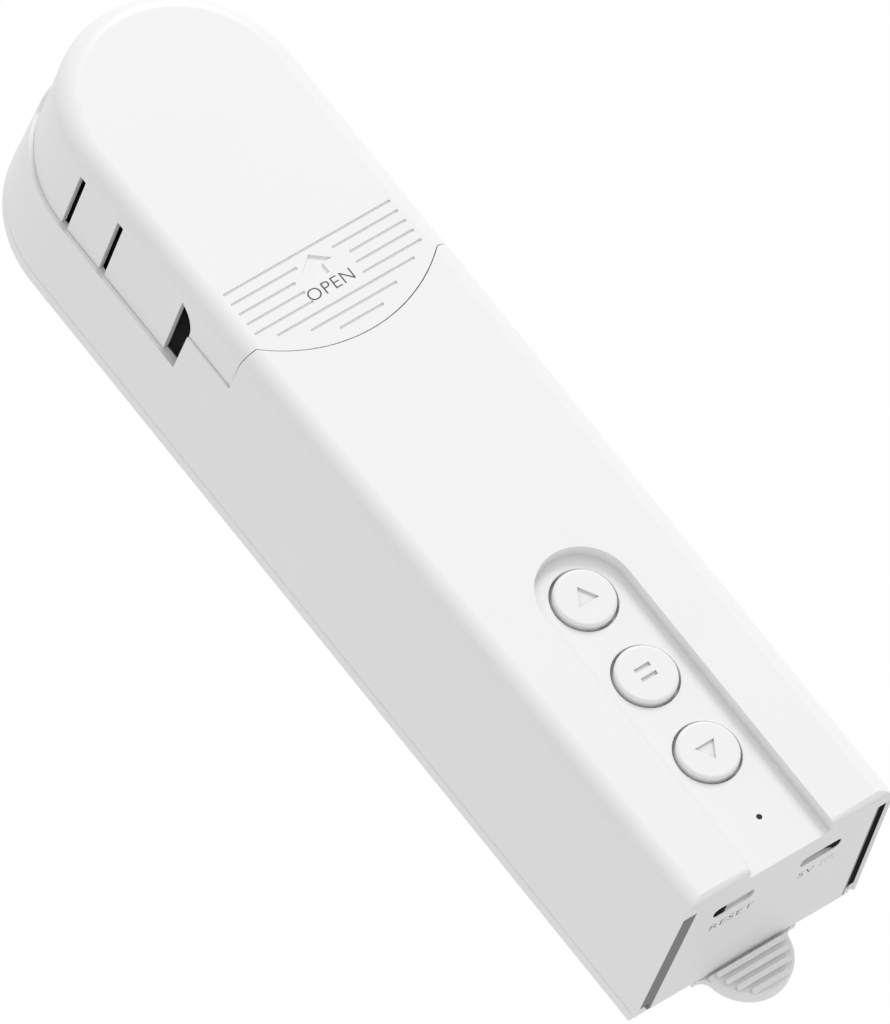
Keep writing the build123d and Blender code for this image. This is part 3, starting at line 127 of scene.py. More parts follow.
def add_node(
    tree: bpy.types.NodeTree,
    kind: str,
    settings: dict[str, object] | None = None,
    inputs: dict[str, object] | None = None,
) -> bpy.types.Node:
    """Adds a shader node with its settings, and sets or links its inputs.

    Args:
        tree: Node tree that gets the node.
        kind: Type name of the node.
        settings: Properties of the node itself.
        inputs: A value for each named socket, or the output socket to link to it.

    Returns:
        The new node.
    """
    node = tree.nodes.new(kind)
    for key, value in (settings or {}).items():
        setattr(node, key, value)
    for key, value in (inputs or {}).items():
        socket = node.inputs[int(key)] if key.isdigit() else node.inputs[key]
        if isinstance(value, bpy.types.NodeSocket):
            tree.links.new(value, socket)
        else:
            socket.default_value = value
    return node


@dataclass(frozen=True)
class MouldedPlastic:
    """Injection-moulded plastic with the fine grain of a spark-eroded mould."""

    name: str
    colour: str
    roughness: float = 0.42
    ior: float = 1.5
    # Real grain is about 0.05 mm, too fine to show, so it is drawn at 0.35 mm.
    grain_mm: float = 0.35
    grain_height_mm: float = 0.004
    cloud_mm: float = 30.0
    cloud_part: float = 0.03
    # Painted shade: the colour is darkened in corners and grooves, where the piece's own surfaces
    # lie close round a point, and nowhere else.
    corner_shade_reach_mm: float = 2.0
    corner_shade_part: float = 0.0
    corner_shade_rays: int = 8
    # How far the roughness swings with the grain, and how many finer layers each noise has.
    roughness_swing: float = 0.05
    cloud_layers: float = 3.0
    grain_layers: float = 2.0

    def make(self) -> bpy.types.Material:
        """Builds the material.

        Returns:
            The material, patterned on Object coordinates.
        """
        material = empty_material(self.name)
        tree = material.node_tree
        place = add_node(tree, "ShaderNodeTexCoord").outputs["Object"]
        cloud = add_node(
            tree,
            "ShaderNodeTexNoise",
            inputs={
                "Vector": place,
                "Scale": 1 / (self.cloud_mm * MM),
                "Detail": self.cloud_layers,
            },
        )
        base = linear(self.colour)
        colour = add_node(
            tree,
            "ShaderNodeMix",
            {"data_type": "RGBA"},
            {"0": cloud.outputs["Fac"], "6": base, "7": darker(base, self.cloud_part)},
        ).outputs[2]
        # Painted shade in corners and grooves, found from how closed in each point is.
        if self.corner_shade_part:
            corner = add_node(
                tree,
                "ShaderNodeAmbientOcclusion",
                {"only_local": True, "samples": self.corner_shade_rays},
                {"Distance": self.corner_shade_reach_mm * MM},
            )
            colour = add_node(
                tree,
                "ShaderNodeMix",
                {"data_type": "RGBA"},
                {"0": corner.outputs["AO"], "6": darker(base, self.corner_shade_part), "7": colour},
            ).outputs[2]
        grain = add_node(
            tree,
            "ShaderNodeTexNoise",
            inputs={
                "Vector": place,
                "Scale": 1 / (self.grain_mm * MM),
                "Detail": self.grain_layers,
            },
        )
        polish = add_node(
            tree,
            "ShaderNodeMapRange",
            inputs={
                "Value": grain.outputs["Fac"],
                "To Min": self.roughness - self.roughness_swing,
                "To Max": self.roughness + self.roughness_swing,
            },
        )
        bump = add_node(
            tree,
            "ShaderNodeBump",
            inputs={
                "Strength": 1.0,
                "Distance": self.grain_height_mm * MM,
                "Height": grain.outputs["Fac"],
            },
        )
        shader = add_node(
            tree,
            "ShaderNodeBsdfPrincipled",
            inputs={
                "Base Color": colour,
                "Roughness": polish.outputs["Result"],
                "IOR": self.ior,
                "Normal": bump.outputs["Normal"],
            },
        )
        add_node(tree, "ShaderNodeOutputMaterial", inputs={"Surface": shader.outputs["BSDF"]})
        return material


@dataclass(frozen=True)
class CutShadeFilm(MouldedPlastic):
    """Painted shade at the bottom of a cut letter: a dull, slightly patchy dark film."""

    roughness: float = 0.65
    cloud_mm: float = 1.2
    cloud_part: float = 0.2


@dataclass(frozen=True)
class WorkedMetal:
    """Metal with fine lines of turning, drawing or rolling along one direction."""

    name: str
    colour: str
    roughness: float
    # Width of the lines, and a factor for each axis: along a small one they run long.
    line_mm: float
    stretch: tuple[float, float, float]
    line_height_mm: float = 0.002
    # How much darker the lines are, how far the roughness swings, and the noise's finer layers.
    line_part: float = 0.14
    roughness_swing: float = 0.08
    line_layers: float = 4.0

    def make(self) -> bpy.types.Material:
        """Builds the material.

        Returns:
            The material, with lines stretched along the axis whose factor is small.
        """
        material = empty_material(self.name)
        tree = material.node_tree
        place = add_node(tree, "ShaderNodeTexCoord").outputs["Object"]
        scale = tuple(s / (self.line_mm * MM) for s in self.stretch)
        scaled = add_node(tree, "ShaderNodeMapping", inputs={"Vector": place, "Scale": scale})
        lines = add_node(
            tree,
            "ShaderNodeTexNoise",
            inputs={
                "Vector": scaled.outputs["Vector"],
                "Scale": 1.0,
                "Detail": self.line_layers,
            },
        )
        polish = add_node(
            tree,
            "ShaderNodeMapRange",
            inputs={
                "Value": lines.outputs["Fac"],
                "To Min": self.roughness - self.roughness_swing,
                "To Max": self.roughness + self.roughness_swing,
            },
        )
        base = linear(self.colour)
        tint = add_node(
            tree,
            "ShaderNodeMix",
            {"data_type": "RGBA"},
            {"0": lines.outputs["Fac"], "6": base, "7": darker(base, self.line_part)},
        )
        bump = add_node(
            tree,
            "ShaderNodeBump",
            inputs={
                "Strength": 1.0,
                "Distance": self.line_height_mm * MM,
                "Height": lines.outputs["Fac"],
            },
        )
        shader = add_node(
            tree,
            "ShaderNodeBsdfPrincipled",
            inputs={
                "Base Color": tint.outputs[2],
                "Metallic": 1.0,
                "Roughness": polish.outputs["Result"],
                "Normal": bump.outputs["Normal"],
            },
        )
        add_node(tree, "ShaderNodeOutputMaterial", inputs={"Surface": shader.outputs["BSDF"]})
        return material


@dataclass(frozen=True)
class TintedAcrylic:
    """Moulded acrylic, tinted but see-through, that leads the LED's light to the pinhole."""

    name: str
    colour: str
    roughness: float
    ior: float = 1.49
    transmission: float = 0.9
    # Width of the flow streaks, and the least and greatest roughness as parts of its value.
    flow_mm: float = 1.5
    flow_parts: tuple[float, float] = (0.5, 1.5)

    def make(self) -> bpy.types.Material:
        """Builds the material.

        Returns:
            The material, with faint flow streaks in its roughness.
        """
        material = empty_material(self.name)
        tree = material.node_tree
        place = add_node(tree, "ShaderNodeTexCoord").outputs["Object"]
        flow = add_node(
            tree,
            "ShaderNodeTexNoise",
            inputs={"Vector": place, "Scale": 1 / (self.flow_mm * MM)},
        )
        smooth, streaky = (self.roughness * part for part in self.flow_parts)
        polish = add_node(
            tree,
            "ShaderNodeMapRange",
            inputs={
                "Value": flow.outputs["Fac"],
                "To Min": smooth,
                "To Max": streaky,
            },
        )
        shader = add_node(
            tree,
            "ShaderNodeBsdfPrincipled",
            inputs={
                "Base Color": linear(self.colour),
                "Roughness": polish.outputs["Result"],
                "IOR": self.ior,
                "Transmission Weight": self.transmission,
            },
        )
        add_node(tree, "ShaderNodeOutputMaterial", inputs={"Surface": shader.outputs["BSDF"]})
        return material


# Acrylonitrile butadiene styrene, moulded white: satin, with soft wide highlights and a hint
# of grain.
# Its colour is darkened in its corners and grooves: painted shade.
WHITE_ABS = MouldedPlastic("ABS, moulded, white satin", "F4F4F5", 0.42, corner_shade_part=0.3)
# The same resin on the cover, without the painted shade in corners, so its grooves stay pale.
COVER_ABS = MouldedPlastic("ABS, moulded, white cover", "F4F4F5", 0.42)
# The same resin on the caps, from a smoother mould, so they look a little brighter.
# The caps' colour is darkened in their corners and cut marks too: painted shade.
CAP_ABS = MouldedPlastic(
    "ABS, moulded, white cap", "F4F4F5", 0.36, grain_height_mm=0.002, corner_shade_part=0.3
)
# The same resin, grey on the reset button: painted shade, as of a button lying in the shade of its
# slot.
SHADE_GREY_ABS = MouldedPlastic("ABS, moulded, grey", "C6C6C7", 0.45, grain_height_mm=0.003)
# Dark grey at the bottom of the cut letters, dull: painted shade of the narrow cuts, so that thin
# strokes still read.
GREY_CUT_SHADE = CutShadeFilm("Ink, pad-printed, dark grey", "58585B")
# Glass-filled nylon of the inner frame: grey and dull, with a coarser skin.
GREY_NYLON = MouldedPlastic("Nylon, glass-filled, grey", "7C7C7E", 0.55, grain_height_mm=0.008)
# Black nylon of switches and the motor's end cap: dull, nearly without colour.
BLACK_NYLON = MouldedPlastic("Nylon, moulded, black", "1E1E20", 0.5, grain_height_mm=0.006)
# Black matt sheets deep inside a slot or gap: painted shade, dull all over. Its IOR is set below
# nylon's real 1.53, so that hardly any light comes back out, as from a deep hole.
SHADE_BLACK = MouldedPlastic(
    "Nylon, moulded, black matt", "0B0B0C", 0.85, 1.2, grain_height_mm=0.006
)
# Acetal of the sprocket and the bevel gear: milky, smoother and slightly waxy.
ACETAL = MouldedPlastic("Acetal, moulded, natural", "DEDBD0", 0.3, 1.48, grain_height_mm=0.002)
# Shrink tube on the cell: glossy thin film over steel.
SHRINK_TUBE = MouldedPlastic("PVC shrink tube, blue", "2F5FA8", 0.22, grain_height_mm=0.003)
# Solder mask over glass laminate: green, glossy where the mask has flowed.
SOLDER_MASK = MouldedPlastic("Solder mask on glass laminate", "1E5A38", 0.3, grain_height_mm=0.005)
# White body and clear resin of the LED.
LED_RESIN = MouldedPlastic("Epoxy resin, pale", "EFECCB", 0.2, 1.54, grain_height_mm=0.001)
# Turned brass of the pinion and the bush: warm, with fine rings from the lathe.
BRASS = WorkedMetal("Brass, turned", "D9B26A", 0.28, 0.12, (0.2, 0.2, 1.0))
# Zinc-plated steel: pale grey, faint drawing lines along the motor.
STEEL = WorkedMetal("Steel, zinc plated", "C3C5C8", 0.32, 0.2, (1.0, 1.0, 0.08))
# Nickel plate on spring contacts and cans: bright, with small hammer-like waves.
NICKEL = WorkedMetal("Nickel plate, bright", "D8D9DB", 0.18, 0.8, (1.0, 1.0, 0.6))
# Acrylic of the light pipe, tinted nearly black: the tint is painted shade, so its pinhole shows
# dark until the LED is lit.
ACRYLIC = TintedAcrylic("Acrylic, smoke tinted", "1C1D1E", 0.2)

Finish = MouldedPlastic | WorkedMetal | TintedAcrylic

FINISHES: dict[Slot, Finish] = {
    Slot.SHELL: WHITE_ABS,
    Slot.BUTTON: CAP_ABS,
    Slot.CHASSIS: GREY_NYLON,
    Slot.BLACK: BLACK_NYLON,
    Slot.GEAR: ACETAL,
    Slot.BRASS: BRASS,
    Slot.STEEL: STEEL,
    Slot.CONTACT: NICKEL,
    Slot.WRAP: SHRINK_TUBE,
    Slot.BOARD: SOLDER_MASK,
    Slot.LED: LED_RESIN,
    Slot.PIPE: ACRYLIC,
}


def facing_front(x: float, z: float, depth: float) -> Matrix:
    """Placement of a flat drawing on the front: its x is X, its y is Z and it faces the viewer.

    Args:
        x: Place to the right, in mm.
        z: Height, in mm.
        depth: Distance in front of the wall, in mm.

    Returns:
        The matrix, in metres.
    """
    turn = Matrix(((1, 0, 0, x * MM), (0, 0, -1, -depth * MM), (0, 1, 0, z * MM), (0, 0, 0, 1)))
    return turn @ Matrix.Scale(MM, 4)


def facing_down(x: float, depth: float, z: float) -> Matrix:
    """Placement of a flat drawing on the lower end: its x is X, its y is towards the front.

    Args:
        x: Place to the right, in mm.
        depth: Distance in front of the wall, in mm.
        z: Height, in mm.

    Returns:
        The matrix, in metres.
    """
    turn = Matrix(((1, 0, 0, x * MM), (0, -1, 0, -depth * MM), (0, 0, -1, z * MM), (0, 0, 0, 1)))
    return turn @ Matrix.Scale(MM, 4)


def new_object(name: str, data: bpy.types.ID) -> bpy.types.Object:
    """Links a new object with this data at the origin.

    Args:
        name: Name of the object.
        data: Its mesh, text, lamp or camera.

    Returns:
        The object.
    """
    obj = bpy.data.objects.new(name, data)
    bpy.context.scene.collection.objects.link(obj)
    return obj


def from_bmesh(name: str, shape: bmesh.types.BMesh) -> bpy.types.Object:
    """Makes an object of a bmesh and frees the bmesh.

    Args:
        name: Name of the object.
        shape: Its shape, in metres.

    Returns:
        The object.
    """
    mesh = bpy.data.meshes.new(name)
    shape.to_mesh(mesh)
    shape.free()
    return new_object(name, mesh)


@dataclass(frozen=True)
class Inscription:
    """A word cut into a surface, with a dark film of painted shade at the bottom of the cut. Its
    sizes are in mm.
    """

    words: str
    width: float
    height: float
    cut: float = 0.16
    cut_shade_top: float = 0.05
    # Factor on the space between letters.
    spacing: float = 1.06
    # In the font's own units: how much a stroke grows, half the raw thickness, and the
    # distance within which corners are merged.
    thicken: float = -0.008
    raw_half: float = 0.5
    raw_merge: float = 0.0005
    # Steps in each part of a curved stroke.
    curve_steps: int = 4

    def letters(self, low: float, high: float, place: Matrix) -> bmesh.types.BMesh:
        """Makes the letters as closed solids.

        Args:
            low: Their lower face, over the surface, in mm.
            high: Their upper face, over the surface, in mm.
            place: Placement of the word's middle.

        Returns:
            The letters, in metres.
        """
        curve = bpy.data.curves.new("lettering", "FONT")
        curve.body = self.words
        curve.space_character = self.spacing
        curve.offset = self.thicken
        curve.extrude = self.raw_half
        curve.resolution_u = self.curve_steps
        text = new_object("lettering", curve)
        shape = bmesh.new()
        shape.from_mesh(text.to_mesh())
        text.to_mesh_clear()
        bpy.data.objects.remove(text)
        bpy.data.curves.remove(curve)
        bmesh.ops.remove_doubles(shape, verts=shape.verts, dist=self.raw_merge)
        across = [v.co.x for v in shape.verts]
        along = [v.co.y for v in shape.verts]
        left, right, foot, head = min(across), max(across), min(along), max(along)
        middle = Vector(((left + right) / 2, (foot + head) / 2, -self.raw_half))
        thick = (high - low) / (2 * self.raw_half)
        scale = Vector((self.width / (right - left), self.height / (head - foot), thick))
        bmesh.ops.translate(shape, vec=-middle, verts=shape.verts)
        bmesh.ops.scale(shape, vec=scale, verts=shape.verts)
        bmesh.ops.translate(shape, vec=(0, 0, low), verts=shape.verts)
        bmesh.ops.transform(shape, matrix=place, verts=shape.verts)
        bmesh.ops.recalc_face_normals(shape, faces=shape.faces)
        return shape

    def cutter(self, place: Matrix) -> bpy.types.Object:
        """Makes the cutter of the word.

        Args:
            place: Placement of the word's middle on the surface.

        Returns:
            The cutter.
        """
        return from_bmesh("lettering", self.letters(-self.cut, self.cut, place))

    def cut_shade(self, body: str, place: Matrix) -> bpy.types.Object:
        """Makes the dark film of painted shade that lies at the bottom of the cut.

        Args:
            body: Name of the body it rides on.
            place: Placement of the word's middle on the surface.

        Returns:
            The ink.
        """
        film = self.letters(-self.cut, -self.cut_shade_top, place)
        piece = from_bmesh(f"{self.words.lower()}_ink", film)
        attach(piece, body)
        return piece


@dataclass(frozen=True)
class Mark:
    """One flat shape of a mark or a plate, in mm on the drawing plane."""

    corners: tuple[tuple[float, float], ...]

    def solid(self, name: str, low: float, high: float, place: Matrix) -> bpy.types.Object:
        """Makes this shape with a thickness.

        Args:
            name: Name of the object.
            low: Its lower face, over the plane, in mm.
            high: Its upper face, over the plane, in mm.
            place: Placement of the drawing's origin.

        Returns:
            The solid shape.
        """
        shape = bmesh.new()
        corners = [shape.verts.new((x, y, low)) for x, y in self.corners]
        # Edges in order keep an outline that bends inwards, where loose corners would be sorted.
        loop = [shape.edges.new(pair) for pair in zip(corners, corners[1:] + corners[:1])]
        face = bmesh.ops.contextual_create(shape, geom=loop)["faces"][0]
        grown = bmesh.ops.extrude_face_region(shape, geom=[face])["geom"]
        top = [v for v in grown if isinstance(v, bmesh.types.BMVert)]
        bmesh.ops.translate(shape, vec=(0, 0, high - low), verts=top)
        bmesh.ops.transform(shape, matrix=place, verts=shape.verts)
        bmesh.ops.recalc_face_normals(shape, faces=shape.faces)
        return from_bmesh(name, shape)

    def cutter(self, cut: float, place: Matrix) -> bpy.types.Object:
        """Makes the cutter of this shape.

        Args:
            cut: How far it reaches to each side of its plane, in mm.
            place: Placement of the drawing's origin.

        Returns:
            The cutter.
        """
        return self.solid("mark", -cut, cut, place)


def true_normals(source: bpy.types.Mesh, cut: bpy.types.Mesh) -> None:
    """Gives a cut mesh the normals of the CAD surfaces, and flat ones on the faces of the cut.

    Args:
        source: The CAD mesh, whose corners carry the normals of the real surfaces.
        cut: The mesh to shade.
    """
    corners = [
        (
            polygon.normal.copy(),
            source.corner_normals[loop].vector.copy(),
            source.loops[loop].vertex_index,
        )
        for polygon in source.polygons
        for loop in polygon.loop_indices
    ]
    places = KDTree(len(corners))
    for number, (_, _, vertex) in enumerate(corners):
        places.insert(source.vertices[vertex].co, number)
    places.balance()
    normals = []
    for polygon in cut.polygons:
        own = polygon.normal.copy()
        for vertex in polygon.vertices:
            found = [corners[n] for _, n, _ in places.find_range(cut.vertices[vertex].co, NEAR)]
            best = max(found, key=lambda corner: corner[0].dot(own), default=None)
            normals.append(best[1] if best and best[0].dot(own) > ALIKE else own)
    cut.shade_smooth()
    cut.normals_split_custom_set(normals)


@dataclass(frozen=True)
class EndEdge:
    """Edge between front and lower end, turned from a cove into a round. Sizes are in mm."""

    depth: float = FRONT_DEPTH
    radius: float = 1.0
    # Where the side fillets start, their radius, and how near a vertex must lie to the cove.
    side_start: float = 17.3
    side_radius: float = 3.4
    near: float = 0.01

    def on_cove(self, place: Vector) -> bool:
        """Tells whether a place, in mm, lies on the cove."""
        into, rise = place.y + self.depth, place.z - END_Z
        low, high = -self.near, self.radius + self.near
        inside = low < into < high and low < rise < high
        return inside and abs(math.hypot(into, rise) - self.radius) < self.near

    def rounded(self, place: Vector) -> Vector:
        """Moves a place from the cove onto the round, kept inside the side fillet.

        Args:
            place: Place on the cove, in mm.

        Returns:
            Its mirror image in the chord of the cove, held back to the side fillet's surface.
        """
        depth = self.depth - self.radius + (place.z - END_Z)
        past = min(max(abs(place.x) - self.side_start, 0.0), self.side_radius)
        limit = self.depth - self.side_radius + math.sqrt(self.side_radius**2 - past**2)
        return Vector((place.x, -min(depth, limit), END_Z + self.radius - (place.y + self.depth)))

    def turn(self, source: bpy.types.Mesh) -> bpy.types.Mesh:
        """Gives a copy of a CAD mesh in which the cove is a round, with the normals of the round.

        Args:
            source: The CAD mesh.

        Returns:
            The copy.
        """
        mesh = source.copy()
        cove = {v.index for v in source.vertices if self.on_cove(v.co / MM)}
        normals = [corner.vector.copy() for corner in source.corner_normals]
        for polygon in source.polygons:
            if cove.issuperset(polygon.vertices):
                for loop in polygon.loop_indices:
                    across, into, rise = normals[loop]
                    normals[loop] = Vector((across, rise, into))
        for index in cove:
            mesh.vertices[index].co = self.rounded(source.vertices[index].co / MM) * MM
        mesh.normals_split_custom_set(normals)
        LOG.info("rounded %d places of the end edge", len(cove))
        return mesh


def engraved(
    node: str, body: str, cutters: list[bpy.types.Object], edge: EndEdge | None = None
) -> bpy.types.Object:
    """Replaces a CAD node by a merged copy with marks cut into it.

    Args:
        node: Name of the CAD node.
        body: Name of the body it rides on.
        cutters: Closed shapes to cut away, removed afterwards.
        edge: The end edge to round, if the node has it.

    Returns:
        The engraved piece.
    """
    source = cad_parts[node].data
    if edge:
        source = edge.turn(source)
    shape = bmesh.new()
    shape.from_mesh(source)
    bmesh.ops.remove_doubles(shape, verts=shape.verts, dist=MERGE)
    piece = from_bmesh(f"{node}_engraved", shape)
    for cutter in cutters:
        step = piece.modifiers.new("cut", "BOOLEAN")
        step.object = cutter
        step.operation = "DIFFERENCE"
        step.solver = "EXACT"
    graph = bpy.context.evaluated_depsgraph_get()
    cut = bpy.data.meshes.new_from_object(piece.evaluated_get(graph))
    piece.modifiers.clear()
    piece.data = cut
    for cutter in cutters:
        bpy.data.objects.remove(cutter)
    true_normals(source, cut)
    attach(piece, body)
    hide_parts(node)
    return piece


@dataclass
class Dresser:
    """Makes each finish once and gives it to pieces."""

    made: dict[str, bpy.types.Material] = field(default_factory=dict)

    def dress(self, piece: bpy.types.Object, slot: Slot, finish: Finish | None = None) -> None:
        """Gives a piece one finish all over.

        Args:
            piece: The piece.
            slot: Slot of the record that it belongs to.
            finish: Its finish, where it isn't the slot's own.
        """
        finish = finish or FINISHES[slot]
        if finish.name not in self.made:
            self.made[finish.name] = finish.make()
        piece.data.materials.clear()
        piece.data.materials.append(self.made[finish.name])
        LOG.info("dressed %s in %s", piece.name, finish.name)


@dataclass
class FrontCover:
    """Lift-off cover of the round end, with the arrow and OPEN cut into its grip, in mm."""

    face_depth: float = FRONT_DEPTH
    word: Inscription = Inscription("OPEN", 8.75, 2.1, 0.3)
    word_place: tuple[float, float] = (-0.9, 31.1)
    arrow_cut: float = 0.4
    arrow: Mark = Mark(
        (
            (-0.6, 37.2),
            (-3.6, 34.9),
            (-1.7, 34.9),
            (-1.7, 33.0),
            (0.5, 33.0),
            (0.5, 34.9),
            (2.4, 34.9),
        )
    )

    def build(self, dresser: Dresser) -> None:
        """Cuts the marks into the cover and dresses it.

        Args:
            dresser: Gives the finish.
        """
        arrow = self.arrow.cutter(self.arrow_cut, facing_front(0.0, 0.0, self.face_depth))
        place = facing_front(*self.word_place, self.face_depth)
        piece = engraved("front_cover", "cover", [arrow, self.word.cutter(place)])
        dresser.dress(piece, Slot.SHELL, COVER_ABS)
        # The dark film in the letters is painted shade.
        dresser.dress(self.word.cut_shade("cover", place), Slot.BLACK, GREY_CUT_SHADE)


@dataclass
class Housing:
    """Front shell and rear tray, with the port names cut into the lower end. Sizes are in mm."""

    # Each word, and the place of its middle: to the right, and in front of the wall.
    words: dict[Inscription, tuple[float, float]] = field(
        default_factory=lambda: {
            Inscription("RESET", 8.6, 1.7): (-8.4, 21.6),
            Inscription("5V", 3.2, 1.7): (6.4, 21.9),
        }
    )
    # The sign for direct current: its middle, half its width, the step from the long bar to the
    # dashes, how many dashes, and how thick and deep a bar is.
    sign_place: tuple[float, float] = (10.5, 22.0)
    sign_half: float = 1.5
    sign_gap: float = 1.1
    sign_dashes: int = 3
    bar: float = 0.22
    bar_cut: float = 0.16
    # Depth in front of the wall and half width, at the body's seam and at its front.
    seam: tuple[float, float] = (2.3, 22.0)
    front: tuple[float, float] = (FRONT_DEPTH, 20.7)
    # Linings in the gaps beside the end wall, grey like the inner frame on the left and black on
    # the right, where the black is painted shade. From and to which depth, how far their edges lie
    # in from the outside, and how sunk they are, by side where the two sides differ.
    gap_depths: tuple[float, float] = (4.6, 31.1)
    gap_inner: float = 2.75
    gap_outer: dict[Side, float] = field(
        default_factory=lambda: {Side.LEFT: 0.22, Side.RIGHT: 0.6}
    )
    gap_sunk: dict[Side, float] = field(
        default_factory=lambda: {Side.LEFT: 0.06, Side.RIGHT: 0.32}
    )
    # Thickness of the gap linings and the shade plates.
    plate: float = 0.1
    # Black plates of painted shade: at the far end of the charging socket, and in the slot beside
    # the reset button.
    shade_plates: dict[str, Mark] = field(
        default_factory=lambda: {
            "socket_throat": Mark(
                (
                    (8.2, 27.3),
                    (11.1, 27.4),
                    (11.8, 27.0),
                    (12.1, 26.4),
                    (12.0, 25.8),
                    (11.5, 25.3),
                    (10.9, 25.2),
                    (9.9, 26.2),
                )
            ),
            "reset_throat": Mark(
                (
                    (-10.8, 25.1),
                    (-12.4, 25.1),
                    (-12.85, 25.35),
                    (-13.1, 25.8),
                    (-12.7, 26.5),
                    (-11.9, 27.1),
                    (-10.8, 27.3),
                )
            ),
        }
    )
    shade_plate_sunk: float = 0.1

    def half_at(self, depth: float) -> float:
        """Half width of the drafted body at a depth, in mm."""
        along = (depth - self.seam[0]) / (self.front[0] - self.seam[0])
        return self.seam[1] + (self.front[1] - self.seam[1]) * along

    def fill_gap(self, side: Side) -> bpy.types.Object:
        """Lays a lining sheet just inside the gap on one side.

        Args:
            side: Side of the gap.

        Returns:
            The lining.
        """
        near, far = self.gap_depths
        outline = [
            (side.value * (self.half_at(depth) - inwards), depth)
            for depth, inwards in (
                (near, self.gap_inner),
                (near, self.gap_outer[side]),
                (far, self.gap_outer[side]),
                (far, self.gap_inner),
            )
        ]
        high = -self.gap_sunk[side]
        name = f"gap_web_{side.name.lower()}"
        place = facing_down(0, 0, END_Z)
        lining = Mark(tuple(outline)).solid(name, high - self.plate, high, place)
        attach(lining, "housing")
        return lining

    def sign(self) -> list[Mark]:
        """Draws the sign for direct current: a long bar over three dashes.

        Returns:
            The bars, round the middle of the sign.
        """
        # The gaps between the dashes are as long as the dashes.
        dash = self.sign_half * 2 / (2 * self.sign_dashes - 1)
        starts = [2 * i * dash - self.sign_half for i in range(self.sign_dashes)]
        bars = [(-self.sign_half, self.sign_half, self.sign_gap / 2)]
        bars += [(left, left + dash, -self.sign_gap / 2) for left in starts]
        return [
            Mark(((left, low), (right, low), (right, low + self.bar), (left, low + self.bar)))
            for left, right, low in bars
        ]

    def build(self, dresser: Dresser) -> None:
        """Cuts the port names and dresses shell and tray.

        Args:
            dresser: Gives the finish.
        """
        places = {word: facing_down(*spot, END_Z) for word, spot in self.words.items()}
        cutters = [word.cutter(place) for word, place in places.items()]
        under = facing_down(*self.sign_place, END_Z)
        cutters += [bar.cutter(self.bar_cut, under) for bar in self.sign()]
        dresser.dress(engraved("front_shell", "housing", cutters, EndEdge()), Slot.SHELL)
        # The dark film in the port names is painted shade.
        for word, place in places.items():
            dresser.dress(word.cut_shade("housing", place), Slot.BLACK, GREY_CUT_SHADE)
        dresser.dress(self.fill_gap(Side.LEFT), Slot.CHASSIS)
        # The right lining is black: painted shade deep in the gap.
        dresser.dress(self.fill_gap(Side.RIGHT), Slot.BLACK, SHADE_BLACK)
        # Black plates of painted shade in the socket and beside the reset button.
        sunk = -self.shade_plate_sunk
        for name, mark in self.shade_plates.items():
            shade_plate = mark.solid(name, sunk - self.plate, sunk, facing_down(0, 0, END_Z))
            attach(shade_plate, "housing")
            dresser.dress(shade_plate, Slot.BLACK, SHADE_BLACK)
        dresser.dress(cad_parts["rear_tray"], Slot.SHELL)


@dataclass
class ButtonPanel:
    """Three round caps, each with its mark sunk into it. Sizes are in mm."""

    # How far the caps' faces lie in front of the wall, how deep the marks are, and their heights.
    cap_depth: float = 34.0
    cut: float = 0.4
    heights: dict[Command, float] = field(
        default_factory=lambda: {Command.UP: -32.9, Command.PAUSE: -48.5, Command.DOWN: -64.1}
    )
    marks: dict[Command, tuple[Mark, ...]] = field(
        default_factory=lambda: {
            Command.UP: (Mark(((-2.0, -1.0), (2.0, -1.0), (0.0, 2.1))),),
            Command.PAUSE: (
                Mark(((-1.5, 0.85), (1.5, 0.85), (1.5, 1.55), (-1.5, 1.55))),
                Mark(((-1.5, -0.95), (1.5, -0.95), (1.5, -0.25), (-1.5, -0.25))),
            ),
            Command.DOWN: (Mark(((-1.9, 1.2), (0.0, -1.85), (1.9, 1.2))),),
        }
    )

    def build(self, dresser: Dresser) -> None:
        """Cuts the marks into the caps and dresses them.

        Args:
            dresser: Gives the finish.
        """
        for command, z in self.heights.items():
            place = facing_front(0.0, z, self.cap_depth)
            cutters = [mark.cutter(self.cut, place) for mark in self.marks[command]]
            cap = engraved(f"button_{command.value}", f"{command.value}_button", cutters)
            dresser.dress(cap, Slot.BUTTON)
            dresser.dress(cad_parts[f"switch_plunger_{command.value}"], Slot.BLACK)


@dataclass
class Mechanism:
    """The parts inside the housing and on the wall, by the slot of their finish."""

    groups: dict[Slot, tuple[str, ...]] = field(
        default_factory=lambda: {
            Slot.SHELL: ("wall_bracket", "release_latch"),
            Slot.CHASSIS: ("chassis",),
            Slot.BLACK: ("gear_case", "motor_end_cap", "tact_switches", "reset_switch"),
            Slot.GEAR: ("chain_sprocket", "bevel_gear"),
            Slot.BRASS: ("bevel_pinion", "front_bush"),
            Slot.STEEL: (
                "rear_bearing",
                "sprocket_axle",
                "sprocket_screw",
                "output_shaft",
                "case_screws",
                "board_screws",
                "gearbox_screws",
                "gearbox_faceplate",
                "gearbox_housing",
                "motor_can",
            ),
            Slot.CONTACT: ("battery_contacts", "usb_socket", "radio_module"),
            Slot.WRAP: ("battery_cell",),
            Slot.BOARD: ("control_board",),
            Slot.LED: ("status_led",),
            Slot.PIPE: ("light_pipe",),
        }
    )

    def build(self, dresser: Dresser) -> None:
        """Dresses each carried-over node.

        Args:
            dresser: Gives the finish.
        """
        # The reset button's grey is painted shade.
        dresser.dress(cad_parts["reset_button"], Slot.BUTTON, SHADE_GREY_ABS)
        for slot, names in self.groups.items():
            for name in names:
                dresser.dress(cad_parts[name], slot)


